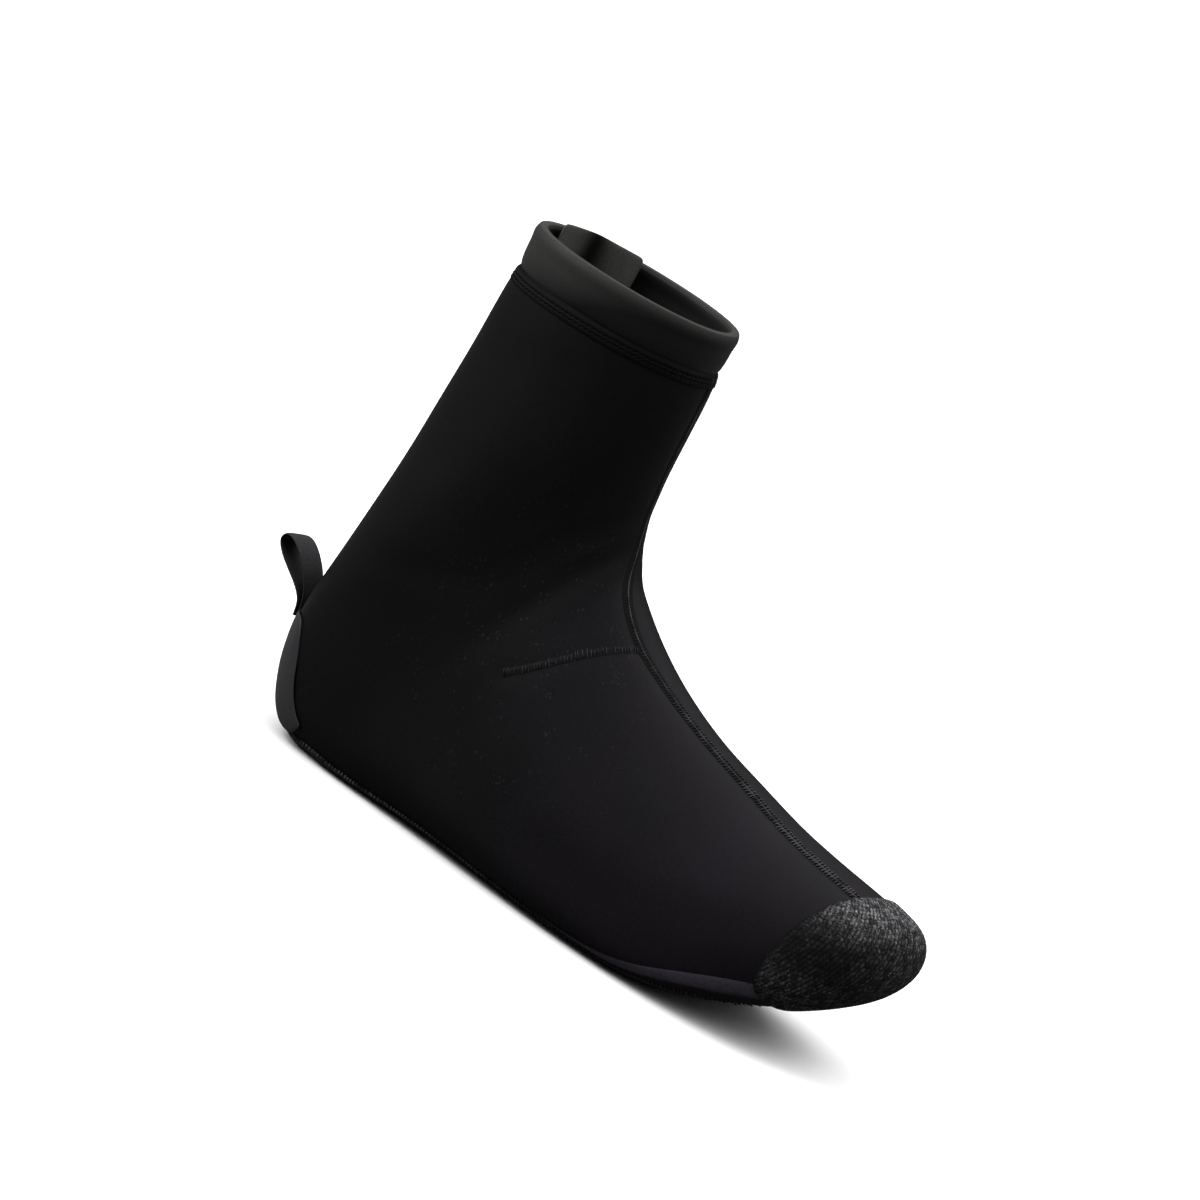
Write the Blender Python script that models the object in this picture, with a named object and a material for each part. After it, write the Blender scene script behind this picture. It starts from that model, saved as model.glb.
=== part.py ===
"""Cycling overshoe for a right foot, standing empty on its sole.

The outer skin of the whole shoe is one function of two numbers: a station, which runs from the toe tip over
the foot, round the heel and up to the collar, and an angle round the section at that station.  Every sewn
piece is a patch of that skin, moved in or out along its normal and given its own thickness.

Frame: +X to the toe, +Y to the inner (left) side of the foot, +Z up.  The floor is z = 0.
"""
import math

import bmesh
import bpy
import numpy as np

MM = 0.001

# Thicknesses and gaps, in millimetres
WALL = 2.4
GAP = 0.35
SOLE_THICKNESS = 2.6
SOLE_RECESS = 0.5
SOLE_GAP = 0.5
TOE_CAP_THICKNESS = 1.1
BAND_THICKNESS = 1.0
HEEL_PANEL_THICKNESS = 0.8
TAB_THICKNESS = 1.4
SEAM_HEIGHT = 0.7
TAPE_THICKNESS = 1.2

# The last: one row for each section, from the toe tip to just above the collar, in millimetres.
# A section is a closed curve from its low end, on the sole or the back of the heel, to its top end, on the
# instep or the front of the shaft.  belly is the share of that height where it is widest, and the two
# powers say how square it is below and above the belly.
LAST_COLUMNS = ("low_x", "low_z", "top_x", "top_z", "half_width", "centre_y", "ridge_y",
                "belly", "low_power", "top_power")
LAST = {
    "toe_tip":      (296.6, 54.5, 296.6, 54.5, 0.0, 8.0, 0.0, 0.46, 2.2, 2.0),
    "toe_nose":     (294.2, 45.5, 294.2, 62.6, 14.0, 7.6, 0.0, 0.46, 2.3, 2.0),
    "toe_front":    (288.8, 37.0, 288.8, 67.4, 25.0, 6.8, 0.0, 0.44, 2.5, 2.0),
    "toe_box":      (279.2, 28.5, 279.2, 70.4, 34.5, 5.0, 0.3, 0.40, 2.8, 2.0),
    "toe_root":     (265.0, 19.4, 265.0, 72.8, 42.5, 2.8, 0.8, 0.36, 3.2, 2.0),
    "toe_joints":   (247.5, 10.8, 247.5, 75.4, 48.0, 1.0, 1.5, 0.32, 3.6, 2.0),
    "ball_front":   (226.0, 2.8, 226.0, 79.5, 51.5, -0.4, 2.4, 0.29, 4.0, 1.95),
    "ball":         (204.0, -1.8, 204.0, 85.5, 52.5, -1.4, 3.2, 0.28, 4.2, 1.9),
    "ball_rear":    (180.0, -2.0, 180.0, 93.0, 51.5, -2.8, 4.0, 0.28, 4.2, 1.85),
    "instep":       (155.0, -1.4, 154.0, 105.0, 49.0, -3.8, 4.4, 0.29, 4.4, 1.85),
    "waist":        (130.0, -0.2, 139.0, 115.0, 46.0, -4.0, 4.4, 0.31, 4.8, 1.85),
    "arch":         (107.0, 0.4, 128.5, 123.5, 43.0, -3.2, 3.4, 0.34, 5.0, 1.9),
    "heel_breast":  (84.0, -0.4, 122.0, 130.0, 40.4, -2.0, 2.0, 0.37, 5.0, 1.95),
    "heel_middle":  (60.0, -2.0, 118.0, 136.5, 38.8, -0.8, 1.0, 0.39, 4.8, 2.0),
    "heel_seat":    (38.0, -2.0, 115.3, 142.5, 38.0, 0.0, 0.5, 0.40, 4.2, 2.0),
    "heel_edge":    (22.6, 0.4, 113.6, 148.0, 37.8, 0.0, 0.0, 0.41, 3.4, 2.05),
    "heel_corner":  (12.6, 7.8, 112.4, 152.8, 38.0, 0.0, 0.0, 0.42, 2.9, 2.05),
    "heel_low":     (6.2, 20.0, 111.4, 157.8, 38.4, 0.0, 0.0, 0.43, 2.7, 2.05),
    "heel_back":    (2.6, 35.0, 110.7, 163.0, 39.0, 0.0, 0.0, 0.44, 2.6, 2.1),
    "heel_bulge":   (1.6, 50.0, 110.1, 168.5, 39.8, 0.0, 0.0, 0.45, 2.5, 2.1),
    "heel_top":     (3.2, 66.0, 109.6, 174.5, 40.6, 0.0, 0.0, 0.46, 2.4, 2.1),
    "ankle":        (6.0, 88.0, 109.2, 182.5, 41.4, 0.0, 0.0, 0.47, 2.3, 2.1),
    "shaft_low":    (8.8, 114.0, 109.0, 191.5, 41.6, 0.0, 0.0, 0.48, 2.2, 2.1),
    "shaft_middle": (11.4, 150.0, 108.8, 202.0, 41.0, 0.0, 0.0, 0.49, 2.15, 2.1),
    "shaft_high":   (13.2, 190.0, 108.5, 210.5, 40.2, 0.0, 0.0, 0.5, 2.1, 2.1),
    "band_foot":    (14.0, 217.0, 108.2, 216.5, 39.6, 0.0, 0.0, 0.5, 2.1, 2.1),
    "collar":       (14.4, 238.0, 108.0, 236.0, 39.4, 0.0, 0.0, 0.5, 2.1, 2.1),
    "above_collar": (14.5, 248.0, 107.9, 246.0, 39.3, 0.0, 0.0, 0.5, 2.1, 2.1),
}
NORMAL_STEP = 0.4
NORMAL_TURN = 0.004
ARC_SAMPLES = 400
HALVINGS = 48
SHARP_EDGE_DEGREES = 40.0
# Points of a grid that agree to this many decimals of a millimetre are one point
WELD_DIGITS = 3

# Grid of the upper: rows ahead of the sole, over it and up the shaft, and columns round a section
TOE_ROWS = 6
SOLE_ROWS = 24
SHAFT_ROWS = 18
SHAFT_SPREAD = 1.35
UPPER_COLUMNS = 30

# Sole panel: where it ends, its share of the width at heel and ball, and how far its two ends round off
SOLE_TOE_X = 268.0
SOLE_HEEL_X = 14.4
SOLE_SHARE_HEEL = 0.82
SOLE_SHARE_BALL = 0.90
SOLE_SHARE_MOST = 0.98
SOLE_TOE_ROUND = 52.0
SOLE_HEEL_ROUND = 30.0
SOLE_ROUND_POWER = 2.4
SOLE_COLUMNS = 12
# Openings in the sole for the cleat and the heel tread: centre, half sizes and squareness of the outline
OPENING_COLUMNS = ("centre_x", "centre_y", "half_length", "half_width", "power")
SOLE_OPENINGS = {
    "cleat_opening": (192.0, -2.0, 33.0, 22.0, 3.0),
    "heel_opening": (48.0, 0.0, 17.0, 14.0, 2.6),
}
OPENING_POINTS = 32
OPENING_FLOOR = -5.0
OPENING_DEPTH = 20.0

# Toe cap: everything ahead of a plane square to the line of the toes, with an edge that bows back at the sides
TOE_CAP_X = 269.0
TOE_CAP_SKEW = 0.22
TOE_CAP_BOW = 5.5
TOE_CAP_BOW_POWER_ABOVE = 1.2
TOE_CAP_BOW_POWER_BELOW = 8.0
TOE_CAP_ROWS = 8
TOE_CAP_COLUMNS = 44

# Collar band: it carries the wall on above its top edge and laps a little way down inside it
BAND_HEIGHT = 19.5
BAND_RECESS = 0.5
BAND_LAP = 5.0
BAND_TOP_ROUND = 1.6
BAND_SHOULDER = 0.3
BAND_COLUMNS = 34

# Tab of the back closure, inside the collar on the inner side of the foot
TAB_START = 1.0
TAB_WIDTH = 52.0
TAB_DEPTH = 26.0
TAB_RISE = 2.4
TAB_ROWS = 5
TAB_COLUMNS = 12

# Heel panel: from the edge of the sole up to a round top under the pull loop
PANEL_HALF_ANGLE = 0.86
PANEL_FRONT_X = 28.0
PANEL_FOOT_MARGIN = 1.5
PANEL_TOP_Z = 47.0
PANEL_SIDE_Z = 15.5
PANEL_ROUND_POWER = 2.6
PANEL_ROWS = 12
PANEL_COLUMNS = 16

# Front seam: distance from the ridge of the instep and shaft to the outer side, by row of the last
SEAM_HALF_WIDTH = 2.0
FRONT_SEAM = {
    "toe_root": 12.8,
    "toe_joints": 11.6,
    "ball_front": 10.0,
    "ball": 8.6,
    "ball_rear": 8.6,
    "instep": 11.0,
    "waist": 12.8,
    "arch": 11.8,
    "heel_breast": 8.6,
    "heel_middle": 4.8,
    "heel_seat": 1.8,
    "heel_low": -1.6,
    "shaft_low": -2.6,
    "collar": -2.6,
}
FRONT_SEAM_STEPS = 42
# Ankle dart: from the front seam back and down, by row of the last and distance from the ridge
DART_START_ROW = "waist"
DART_END_ROW = "heel_breast"
DART_END_PAST_ROW = 9.0
DART_END_DISTANCE = 74.0
DART_STEPS = 14

# Pull loop of folded tape behind the heel: its centre line in the plane of the heel, x and z
LOOP_PATH = (
    (-0.6, 42.0),
    (-0.9, 47.5),
    (-2.2, 53.2),
    (-5.8, 60.2),
    (-11.4, 66.2),
    (-17.4, 69.8),
    (-21.4, 69.6),
    (-22.6, 66.4),
    (-19.0, 62.1),
    (-13.0, 57.8),
    (-6.9, 53.4),
    (-3.2, 48.6),
    (-2.4, 42.0),
)
LOOP_WIDTH = 16.0
LOOP_STEPS = 3
LOOP_ACROSS = 4
LOOP_BEND_RADIUS = 90.0

# Finishes: colour as linear RGB, roughness
FINISHES = {
    "stretch_shell": ((0.006, 0.006, 0.007), 0.62),
    "collar_tape": ((0.020, 0.020, 0.019), 0.70),
    "abrasion_knit": ((0.030, 0.030, 0.032), 0.85),
    "sole_rubber": ((0.011, 0.011, 0.013), 0.55),
    "heel_film": ((0.026, 0.026, 0.028), 0.45),
    "seam_thread": ((0.012, 0.012, 0.013), 0.75),
}


def clear_scene():
    """Removes the objects of the startup scene."""
    for obj in list(bpy.data.objects):
        bpy.data.objects.remove(obj)


def make_finish(name):
    """A Principled material with the colour and roughness of the named finish."""
    colour, roughness = FINISHES[name]
    material = bpy.data.materials.new(name)
    material.use_nodes = True
    shader = material.node_tree.nodes["Principled BSDF"]
    shader.inputs["Base Color"].default_value = (*colour, 1.0)
    shader.inputs["Roughness"].default_value = roughness
    shader.inputs["Metallic"].default_value = 0.0
    return material


def smooth_value(knots, values, slopes, t):
    """A cubic curve through the values at the knots, with these slopes."""
    i = int(np.clip(np.searchsorted(knots, t) - 1, 0, len(knots) - 2))
    h = knots[i + 1] - knots[i]
    s = (t - knots[i]) / h
    here = (2 * s**3 - 3 * s**2 + 1) * values[i] + (s**3 - 2 * s**2 + s) * h * slopes[i]
    there = (3 * s**2 - 2 * s**3) * values[i + 1] + (s**3 - s**2) * h * slopes[i + 1]
    return here + there


class Last:
    """The outer skin: sections of the table joined by a smooth curve through their columns."""

    def __init__(self):
        rows = np.array(list(LAST.values()), float)
        steps = np.linalg.norm(np.diff(rows[:, :5], axis=0), axis=1)
        self.knots = np.concatenate([[0.0], np.cumsum(steps)])
        self.rows = rows
        self.station = dict(zip(LAST, self.knots))
        self.slopes = self._slopes(rows, steps)

    @staticmethod
    def _slopes(rows, steps):
        """Slope of every column at every row. At the toe tip the section turns over, so its mirror leads in."""
        lead = rows[1].copy()
        lead[[1, 3]] = rows[1][[3, 1]]
        lead[4] = -rows[1][4]
        tail = 2 * rows[-1] - rows[-2]
        padded = np.vstack([lead, rows, tail])
        gaps = np.concatenate([[steps[0]], steps, [steps[-1]]])[:, None]
        chords = np.diff(padded, axis=0) / gaps
        return (chords[:-1] * gaps[1:] + chords[1:] * gaps[:-1]) / (gaps[1:] + gaps[:-1])

    def section(self, t):
        """The columns of the section at station t, as a dict."""
        return dict(zip(LAST_COLUMNS, smooth_value(self.knots, self.rows, self.slopes, t)))

    def ring(self, t, angles):
        """Points of the section at station t. Angle 0 is its top, pi its low end, and +Y is positive."""
        c = self.section(t)
        angles = np.asarray(angles, float)
        above = np.cos(angles) >= 0
        power = np.where(above, c["top_power"], c["low_power"])
        across = np.sign(np.sin(angles)) * np.abs(np.sin(angles)) ** (2 / power)
        rise = np.abs(np.cos(angles)) ** (2 / power)
        share = np.where(above, c["belly"] + (1 - c["belly"]) * rise, c["belly"] * (1 - rise))
        x = c["low_x"] + (c["top_x"] - c["low_x"]) * share
        z = c["low_z"] + (c["top_z"] - c["low_z"]) * share
        y = c["centre_y"] + c["ridge_y"] * share + c["half_width"] * across
        return np.stack([x, y, z], axis=-1)

    def slopes_at(self, t, angle):
        """How the skin moves for one unit of station and for one unit of angle."""
        near = max(t - NORMAL_STEP, 0.05 * NORMAL_STEP)
        far = near + 2 * NORMAL_STEP
        along = (self.ring(far, [angle])[0] - self.ring(near, [angle])[0]) / (far - near)
        sides = self.ring(max(t, 0.05 * NORMAL_STEP), [angle - NORMAL_TURN, angle + NORMAL_TURN])
        return along, (sides[1] - sides[0]) / (2 * NORMAL_TURN)

    def skin(self, t, angle, lift=0.0):
        """The point at station t and this angle, moved out of the skin by lift."""
        along, around = self.slopes_at(t, angle)
        normal = np.cross(around, along)
        return self.ring(t, [angle])[0] + lift * normal / np.linalg.norm(normal)

    def arc(self, t, start, end, count):
        """count angles from start to end, spaced evenly along the section."""
        fine = np.linspace(start, end, ARC_SAMPLES)
        steps = np.linalg.norm(np.diff(self.ring(t, fine), axis=0), axis=1)
        length = np.concatenate([[0.0], np.cumsum(steps)])
        return np.interp(np.linspace(0.0, length[-1], count), length, fine)

    def angle_at(self, t, start, distance):
        """The angle that lies this far along the section from start, towards positive angles."""
        end = start + math.copysign(math.pi, distance)
        fine = np.linspace(start, end, ARC_SAMPLES)
        steps = np.linalg.norm(np.diff(self.ring(t, fine), axis=0), axis=1)
        length = np.concatenate([[0.0], np.cumsum(steps)])
        return float(np.interp(abs(distance), length, fine))

    def find(self, measure, target, low, high):
        """The station between low and high where measure(station) reaches target."""
        rising = measure(high) > measure(low)
        for _ in range(HALVINGS):
            middle = 0.5 * (low + high)
            if (measure(middle) < target) == rising:
                low = middle
            else:
                high = middle
        return 0.5 * (low + high)

    def at_low_z(self, height, low_row, high_row):
        """The station between two rows where the low end of the section is at this height."""
        return self.find(lambda t: self.section(t)["low_z"], height, self.station[low_row], self.station[high_row])

    def below_collar(self, distance):
        """The station this far below the top of the collar."""
        return self.at_low_z(self.section(self.station["collar"])["low_z"] - distance,
                             "shaft_middle", "above_collar")


def sole_half_angle(last, t, inset=0.0):
    """Angle from the bottom of the section to the edge of the sole opening, or 0 where there is no sole."""
    c = last.section(t)
    if t > last.station["heel_low"]:
        return 0.0
    from_toe = (SOLE_TOE_X - c["low_x"]) / SOLE_TOE_ROUND
    from_heel = (c["low_x"] - SOLE_HEEL_X) / SOLE_HEEL_ROUND
    end = min(from_toe, from_heel, 1.0)
    if end <= 0.0:
        return 0.0
    heel, ball = LAST["heel_seat"][0], LAST["ball"][0]
    forward = np.clip((c["low_x"] - heel) / (ball - heel), 0.0, 1.0)
    share = SOLE_SHARE_HEEL + (SOLE_SHARE_BALL - SOLE_SHARE_HEEL) * forward
    rounding = (1 - (1 - end) ** SOLE_ROUND_POWER) ** (1 / SOLE_ROUND_POWER)
    width = share * c["half_width"] * rounding - inset
    if width <= 0.0:
        return 0.0
    return math.asin(min(width / c["half_width"], SOLE_SHARE_MOST) ** (c["low_power"] / 2))


def sole_ends(last, inset=0.0):
    """Stations of the toe end and the heel end of the sole opening."""
    ends = []
    for limit in (0.0, last.station["heel_low"]):
        open_end, shut_end = last.station["waist"], limit
        for _ in range(HALVINGS):
            trial = 0.5 * (open_end + shut_end)
            if sole_half_angle(last, trial, inset) > 0.0:
                open_end = trial
            else:
                shut_end = trial
        ends.append(0.5 * (open_end + shut_end))
    return ends


def sole_rows(last):
    """Stations across the sole opening, closer together at its two round ends."""
    toe_end, heel_end = sole_ends(last)
    shares = [0.5 - 0.5 * math.cos(math.pi * k / SOLE_ROWS) for k in range(SOLE_ROWS + 1)]
    return [toe_end + share * (heel_end - toe_end) for share in shares]


def add_object(name, points, faces, finish):
    """A mesh object from points in millimetres, shaded smooth."""
    mesh = bpy.data.meshes.new(name)
    mesh.from_pydata([tuple(MM * c for c in p) for p in points], [], faces)
    mesh.update()
    mesh.shade_smooth()
    mesh.set_sharp_from_angle(angle=math.radians(SHARP_EDGE_DEGREES))
    obj = bpy.data.objects.new(name, mesh)
    bpy.context.scene.collection.objects.link(obj)
    mesh.materials.append(finish)
    return obj


def welded_faces(grid_points):
    """Numbers the points of a grid, the same number for points that coincide, and its faces."""
    numbers = {}
    index = []
    for row in grid_points:
        index.append([numbers.setdefault(tuple(np.round(p, WELD_DIGITS)), len(numbers)) for p in row])
    faces = []
    for upper, lower in zip(index, index[1:]):
        for j in range(len(upper) - 1):
            corners = [upper[j], upper[j + 1], lower[j + 1], lower[j]]
            corners = [c for k, c in enumerate(corners) if c != corners[k - 1]]
            if len(set(corners)) == len(corners) and len(corners) > 2:
                faces.append(corners)
    return index, faces


def shell(name, last, grid, inner, outer, finish, floor=None):
    """A closed shell over a grid of (station, angle) pairs, between two lifts from the skin."""
    index, faces = welded_faces([[last.ring(t, [a])[0] for t, a in row] for row in grid])
    count = 1 + max(max(row) for row in index)
    low, high = [None] * count, [None] * count
    for row, numbers in zip(grid, index):
        for (t, a), n in zip(row, numbers):
            if low[n] is None:
                low[n] = last.skin(t, a, inner)
                high[n] = last.skin(t, a, outer)
                if floor is not None:
                    high[n][2] = max(high[n][2], floor)
                    low[n][2] = max(low[n][2], floor + outer - inner)
    edges = {(a, b) for face in faces for a, b in zip(face, face[1:] + face[:1])}
    rim = [(b, a, a + count, b + count) for a, b in edges if (b, a) not in edges]
    under = [tuple(n + count for n in reversed(face)) for face in faces]
    return add_object(name, high + low, [tuple(f) for f in faces] + under + sorted(rim), finish)


def make_upper(last, finish):
    """The stretch shell, open at the collar and underneath, where the sole panel closes it."""
    top = last.below_collar(BAND_HEIGHT + GAP)
    middle = sole_rows(last)
    rows = list(np.linspace(0.0, middle[0], TOE_ROWS + 1)[:-1])
    rows += middle
    rows += [middle[-1] + (top - middle[-1]) * (k / SHAFT_ROWS) ** SHAFT_SPREAD for k in range(1, SHAFT_ROWS + 1)]
    grid = []
    for t in rows:
        edge = math.pi - sole_half_angle(last, t)
        grid.append([(t, a) for a in last.arc(t, -edge, edge, UPPER_COLUMNS + 1)])
    return shell("upper", last, grid, -WALL, 0.0, finish)


def make_sole(last, finish):
    """The bottom panel with its turned-up edge, flat where it stands, cut for the cleat and the heel tread."""
    toe_end, heel_end = sole_ends(last, SOLE_GAP)
    rows = [toe_end] + [t for t in sole_rows(last) if toe_end < t < heel_end] + [heel_end]
    grid = []
    for t in rows:
        edge = sole_half_angle(last, t, SOLE_GAP)
        grid.append([(t, a) for a in last.arc(t, math.pi - edge, math.pi + edge, SOLE_COLUMNS + 1)])
    sole = shell("sole", last, grid, -SOLE_RECESS - SOLE_THICKNESS, -SOLE_RECESS, finish, floor=0.0)
    for name, row in SOLE_OPENINGS.items():
        cut = sole.modifiers.new(name, "BOOLEAN")
        cut.operation = "DIFFERENCE"
        cut.object = make_opening_cutter(name, dict(zip(OPENING_COLUMNS, row)))
    return sole


def make_opening_cutter(name, size):
    """An upright prism with a rounded outline."""
    outline = []
    for k in range(OPENING_POINTS):
        a = 2 * math.pi * k / OPENING_POINTS
        x = math.copysign(abs(math.cos(a)) ** (2 / size["power"]), math.cos(a))
        y = math.copysign(abs(math.sin(a)) ** (2 / size["power"]), math.sin(a))
        outline.append((size["centre_x"] + size["half_length"] * x, size["centre_y"] + size["half_width"] * y))
    mesh = bpy.data.meshes.new(name)
    bm = bmesh.new()
    face = bm.faces.new([bm.verts.new((MM * x, MM * y, MM * OPENING_FLOOR)) for x, y in outline])
    risen = bmesh.ops.extrude_face_region(bm, geom=[face])
    tops = [v for v in risen["geom"] if isinstance(v, bmesh.types.BMVert)]
    bmesh.ops.translate(bm, verts=tops, vec=(0, 0, MM * OPENING_DEPTH))
    bmesh.ops.recalc_face_normals(bm, faces=bm.faces)
    bm.to_mesh(mesh)
    bm.free()
    cutter = bpy.data.objects.new(name, mesh)
    cutter.hide_render = True
    cutter.display_type = "WIRE"
    bpy.context.scene.collection.objects.link(cutter)
    return cutter


def toe_cap_bow(angle):
    """How far the edge of the toe cap lies behind its plane at this angle of the section."""
    power = TOE_CAP_BOW_POWER_ABOVE if abs(angle) < 0.5 * math.pi else TOE_CAP_BOW_POWER_BELOW
    return TOE_CAP_BOW * abs(math.sin(angle)) ** power


def make_toe_cap(last, finish):
    """A cup of abrasion knit over the whole toe, underneath too."""
    def ahead(angle):
        def measure(t):
            x, y, _ = last.ring(t, [angle])[0]
            return x - TOE_CAP_SKEW * y
        return measure

    angles = last.arc(last.station["toe_root"], -math.pi, math.pi, TOE_CAP_COLUMNS + 1)
    ends = [last.find(ahead(a), TOE_CAP_X - toe_cap_bow(a), 0.0, last.station["ball"]) for a in angles]
    grid = [[(k / TOE_CAP_ROWS * end, a) for a, end in zip(angles, ends)] for k in range(TOE_CAP_ROWS + 1)]
    return shell("toe_cap", last, grid, GAP, GAP + TOE_CAP_THICKNESS, finish)


def make_collar_band(last, finish):
    """The collar's band, with a round rim and an inner edge that laps down inside the wall."""
    outer, seat = -BAND_RECESS, -WALL - GAP
    inner = seat - BAND_THICKNESS
    middle = 0.5 * (outer + inner)
    shoulder = BAND_SHOULDER * (outer - inner)
    profile = [
        (BAND_HEIGHT, outer),
        (0.5 * BAND_HEIGHT, outer),
        (BAND_TOP_ROUND, outer),
        (BAND_SHOULDER * BAND_TOP_ROUND, middle + shoulder),
        (0.0, middle),
        (BAND_SHOULDER * BAND_TOP_ROUND, middle - shoulder),
        (BAND_TOP_ROUND, inner),
        (0.5 * BAND_HEIGHT, inner),
        (BAND_HEIGHT, inner),
        (BAND_HEIGHT + BAND_LAP, inner),
        (BAND_HEIGHT + BAND_LAP, seat),
        (BAND_HEIGHT, seat),
    ]
    stations = [last.below_collar(distance) for distance, _ in profile]
    angles = last.arc(last.station["collar"], -math.pi, math.pi, BAND_COLUMNS + 1)[:-1]
    points = [last.skin(t, a, lift) for a in angles for t, (_, lift) in zip(stations, profile)]
    size, count = len(profile), len(angles)
    faces = []
    for j in range(count):
        here, there = j * size, (j + 1) % count * size
        for k in range(size):
            n = (k + 1) % size
            faces.append((here + k, there + k, there + n, here + n))
    return add_object("collar_band", points, faces, finish)


def make_heel_panel(last, finish):
    """A smooth panel round the back of the heel, from the sole up to the pull loop."""
    front = last.find(lambda t: last.section(t)["low_x"], PANEL_FRONT_X,
                      last.station["heel_middle"], last.station["heel_low"])
    columns = []
    for share in np.linspace(-1.0, 1.0, PANEL_COLUMNS + 1):
        half = max(abs(share) * PANEL_HALF_ANGLE, NORMAL_TURN)
        edge = last.find(lambda t: sole_half_angle(last, t), half, front, last.station["heel_low"])
        rise = (1 - abs(share) ** PANEL_ROUND_POWER) ** (1 / PANEL_ROUND_POWER)
        top = last.at_low_z(PANEL_SIDE_Z + (PANEL_TOP_Z - PANEL_SIDE_Z) * rise, "heel_edge", "heel_top")
        columns.append((edge + PANEL_FOOT_MARGIN, top, math.pi + share * PANEL_HALF_ANGLE))
    grid = []
    for k in range(PANEL_ROWS + 1):
        s = k / PANEL_ROWS
        grid.append([(foot + s * (top - foot), a) for foot, top, a in columns])
    return shell("heel_panel", last, grid, GAP, GAP + HEEL_PANEL_THICKNESS, finish)


def make_closure_tab(last, finish):
    """The hook tab inside the collar, standing a little above the rim beside the centre back."""
    outer = -WALL - 2 * GAP - BAND_THICKNESS
    grid = []
    for t in np.linspace(last.below_collar(TAB_DEPTH), last.below_collar(-TAB_RISE), TAB_ROWS + 1):
        first = last.angle_at(t, math.pi, -TAB_START - TAB_WIDTH)
        final = last.angle_at(t, math.pi, -TAB_START)
        grid.append([(t, a) for a in last.arc(t, first, final, TAB_COLUMNS + 1)])
    return shell("closure_tab", last, grid, outer - TAB_THICKNESS, outer, finish)


def front_seam_distance(last, t):
    """Distance of the front seam from the ridge at station t."""
    knots = np.array([last.station[row] for row in FRONT_SEAM])
    values = np.array(list(FRONT_SEAM.values()))
    return float(smooth_value(knots, values, np.gradient(values, knots), t))


def raised_seam(name, last, path, finish):
    """A flat raised seam along a path of (station, angle) pairs, SEAM_HALF_WIDTH to either side."""
    points = np.array([last.ring(t, [a])[0] for t, a in path])
    runs = np.gradient(points, axis=0)
    grid = []
    for (t, a), run in zip(path, runs):
        along, around = last.slopes_at(t, a)
        side = np.cross(run, np.cross(around, along))
        side *= SEAM_HALF_WIDTH / np.linalg.norm(side)
        step = np.linalg.lstsq(np.stack([along, around], axis=1), side, rcond=None)[0]
        grid.append([(t - step[0], a - step[1]), (t, a), (t + step[0], a + step[1])])
    return shell(name, last, grid, GAP, GAP + SEAM_HEIGHT, finish)


def make_front_seam(last, finish):
    """The seam from the toe cap over the instep and up the front of the shaft."""
    def place(t):
        return last.angle_at(t, 0.0, -front_seam_distance(last, t))

    def ahead(t):
        angle = place(t)
        x, y, _ = last.ring(t, [angle])[0]
        return x - TOE_CAP_SKEW * y + toe_cap_bow(angle)

    start = last.find(ahead, TOE_CAP_X - SEAM_HALF_WIDTH, last.station["toe_box"], last.station["ball"])
    end = last.below_collar(BAND_HEIGHT + SEAM_HALF_WIDTH)
    path = [(t, place(t)) for t in np.linspace(start, end, FRONT_SEAM_STEPS + 1)]
    return raised_seam("front_seam", last, path, finish)


def make_ankle_dart(last, finish):
    """The seam from the front seam back and down over the outer ankle."""
    first, final = last.station[DART_START_ROW], last.station[DART_END_ROW] + DART_END_PAST_ROW
    start = front_seam_distance(last, first) + 2 * SEAM_HALF_WIDTH
    path = []
    for s in np.linspace(0.0, 1.0, DART_STEPS + 1):
        t = first + s * (final - first)
        path.append((t, last.angle_at(t, 0.0, -start - s * (DART_END_DISTANCE - start))))
    return raised_seam("ankle_dart", last, path, finish)


def smooth_path(points, steps):
    """Points of a Catmull-Rom curve through these points, steps to a span."""
    p = np.array([points[0], *points, points[-1]], float)
    path = []
    for k in range(1, len(p) - 2):
        for j in range(steps):
            s = j / steps
            path.append(0.5 * (2 * p[k] + (p[k + 1] - p[k - 1]) * s
                               + (2 * p[k - 1] - 5 * p[k] + 4 * p[k + 1] - p[k + 2]) * s**2
                               + (3 * p[k] - 3 * p[k + 1] + p[k + 2] - p[k - 1]) * s**3))
    path.append(p[-2])
    return np.array(path)


def make_pull_loop(finish):
    """A loop of folded tape sewn to the top of the heel panel, leaning up and back."""
    path = smooth_path(LOOP_PATH, LOOP_STEPS)
    run = np.gradient(path, axis=0)
    run /= np.linalg.norm(run, axis=1)[:, None]
    normal = np.stack([run[:, 1], -run[:, 0]], axis=1)
    layers = (path + 0.5 * TAPE_THICKNESS * normal, path - 0.5 * TAPE_THICKNESS * normal)
    ys = np.linspace(-0.5 * LOOP_WIDTH, 0.5 * LOOP_WIDTH, LOOP_ACROSS + 1)
    points = []
    for layer in layers:
        for x, z in layer:
            points += [(x + y * y / (2 * LOOP_BEND_RADIUS), y, z) for y in ys]
    wide, long = len(ys), len(path)
    count = wide * long
    faces = []
    for i in range(long - 1):
        for j in range(wide - 1):
            a, b = i * wide + j, (i + 1) * wide + j
            faces.append((a, a + 1, b + 1, b))
            faces.append((count + b, count + b + 1, count + a + 1, count + a))
        for j, flip in ((0, False), (wide - 1, True)):
            a, b = i * wide + j, (i + 1) * wide + j
            side = (a, b, count + b, count + a)
            faces.append(side[::-1] if flip else side)
    for i, flip in ((0, True), (long - 1, False)):
        for j in range(wide - 1):
            a = i * wide + j
            end = (a, a + 1, count + a + 1, count + a)
            faces.append(end[::-1] if flip else end)
    return add_object("pull_loop", points, faces, finish)


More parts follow.
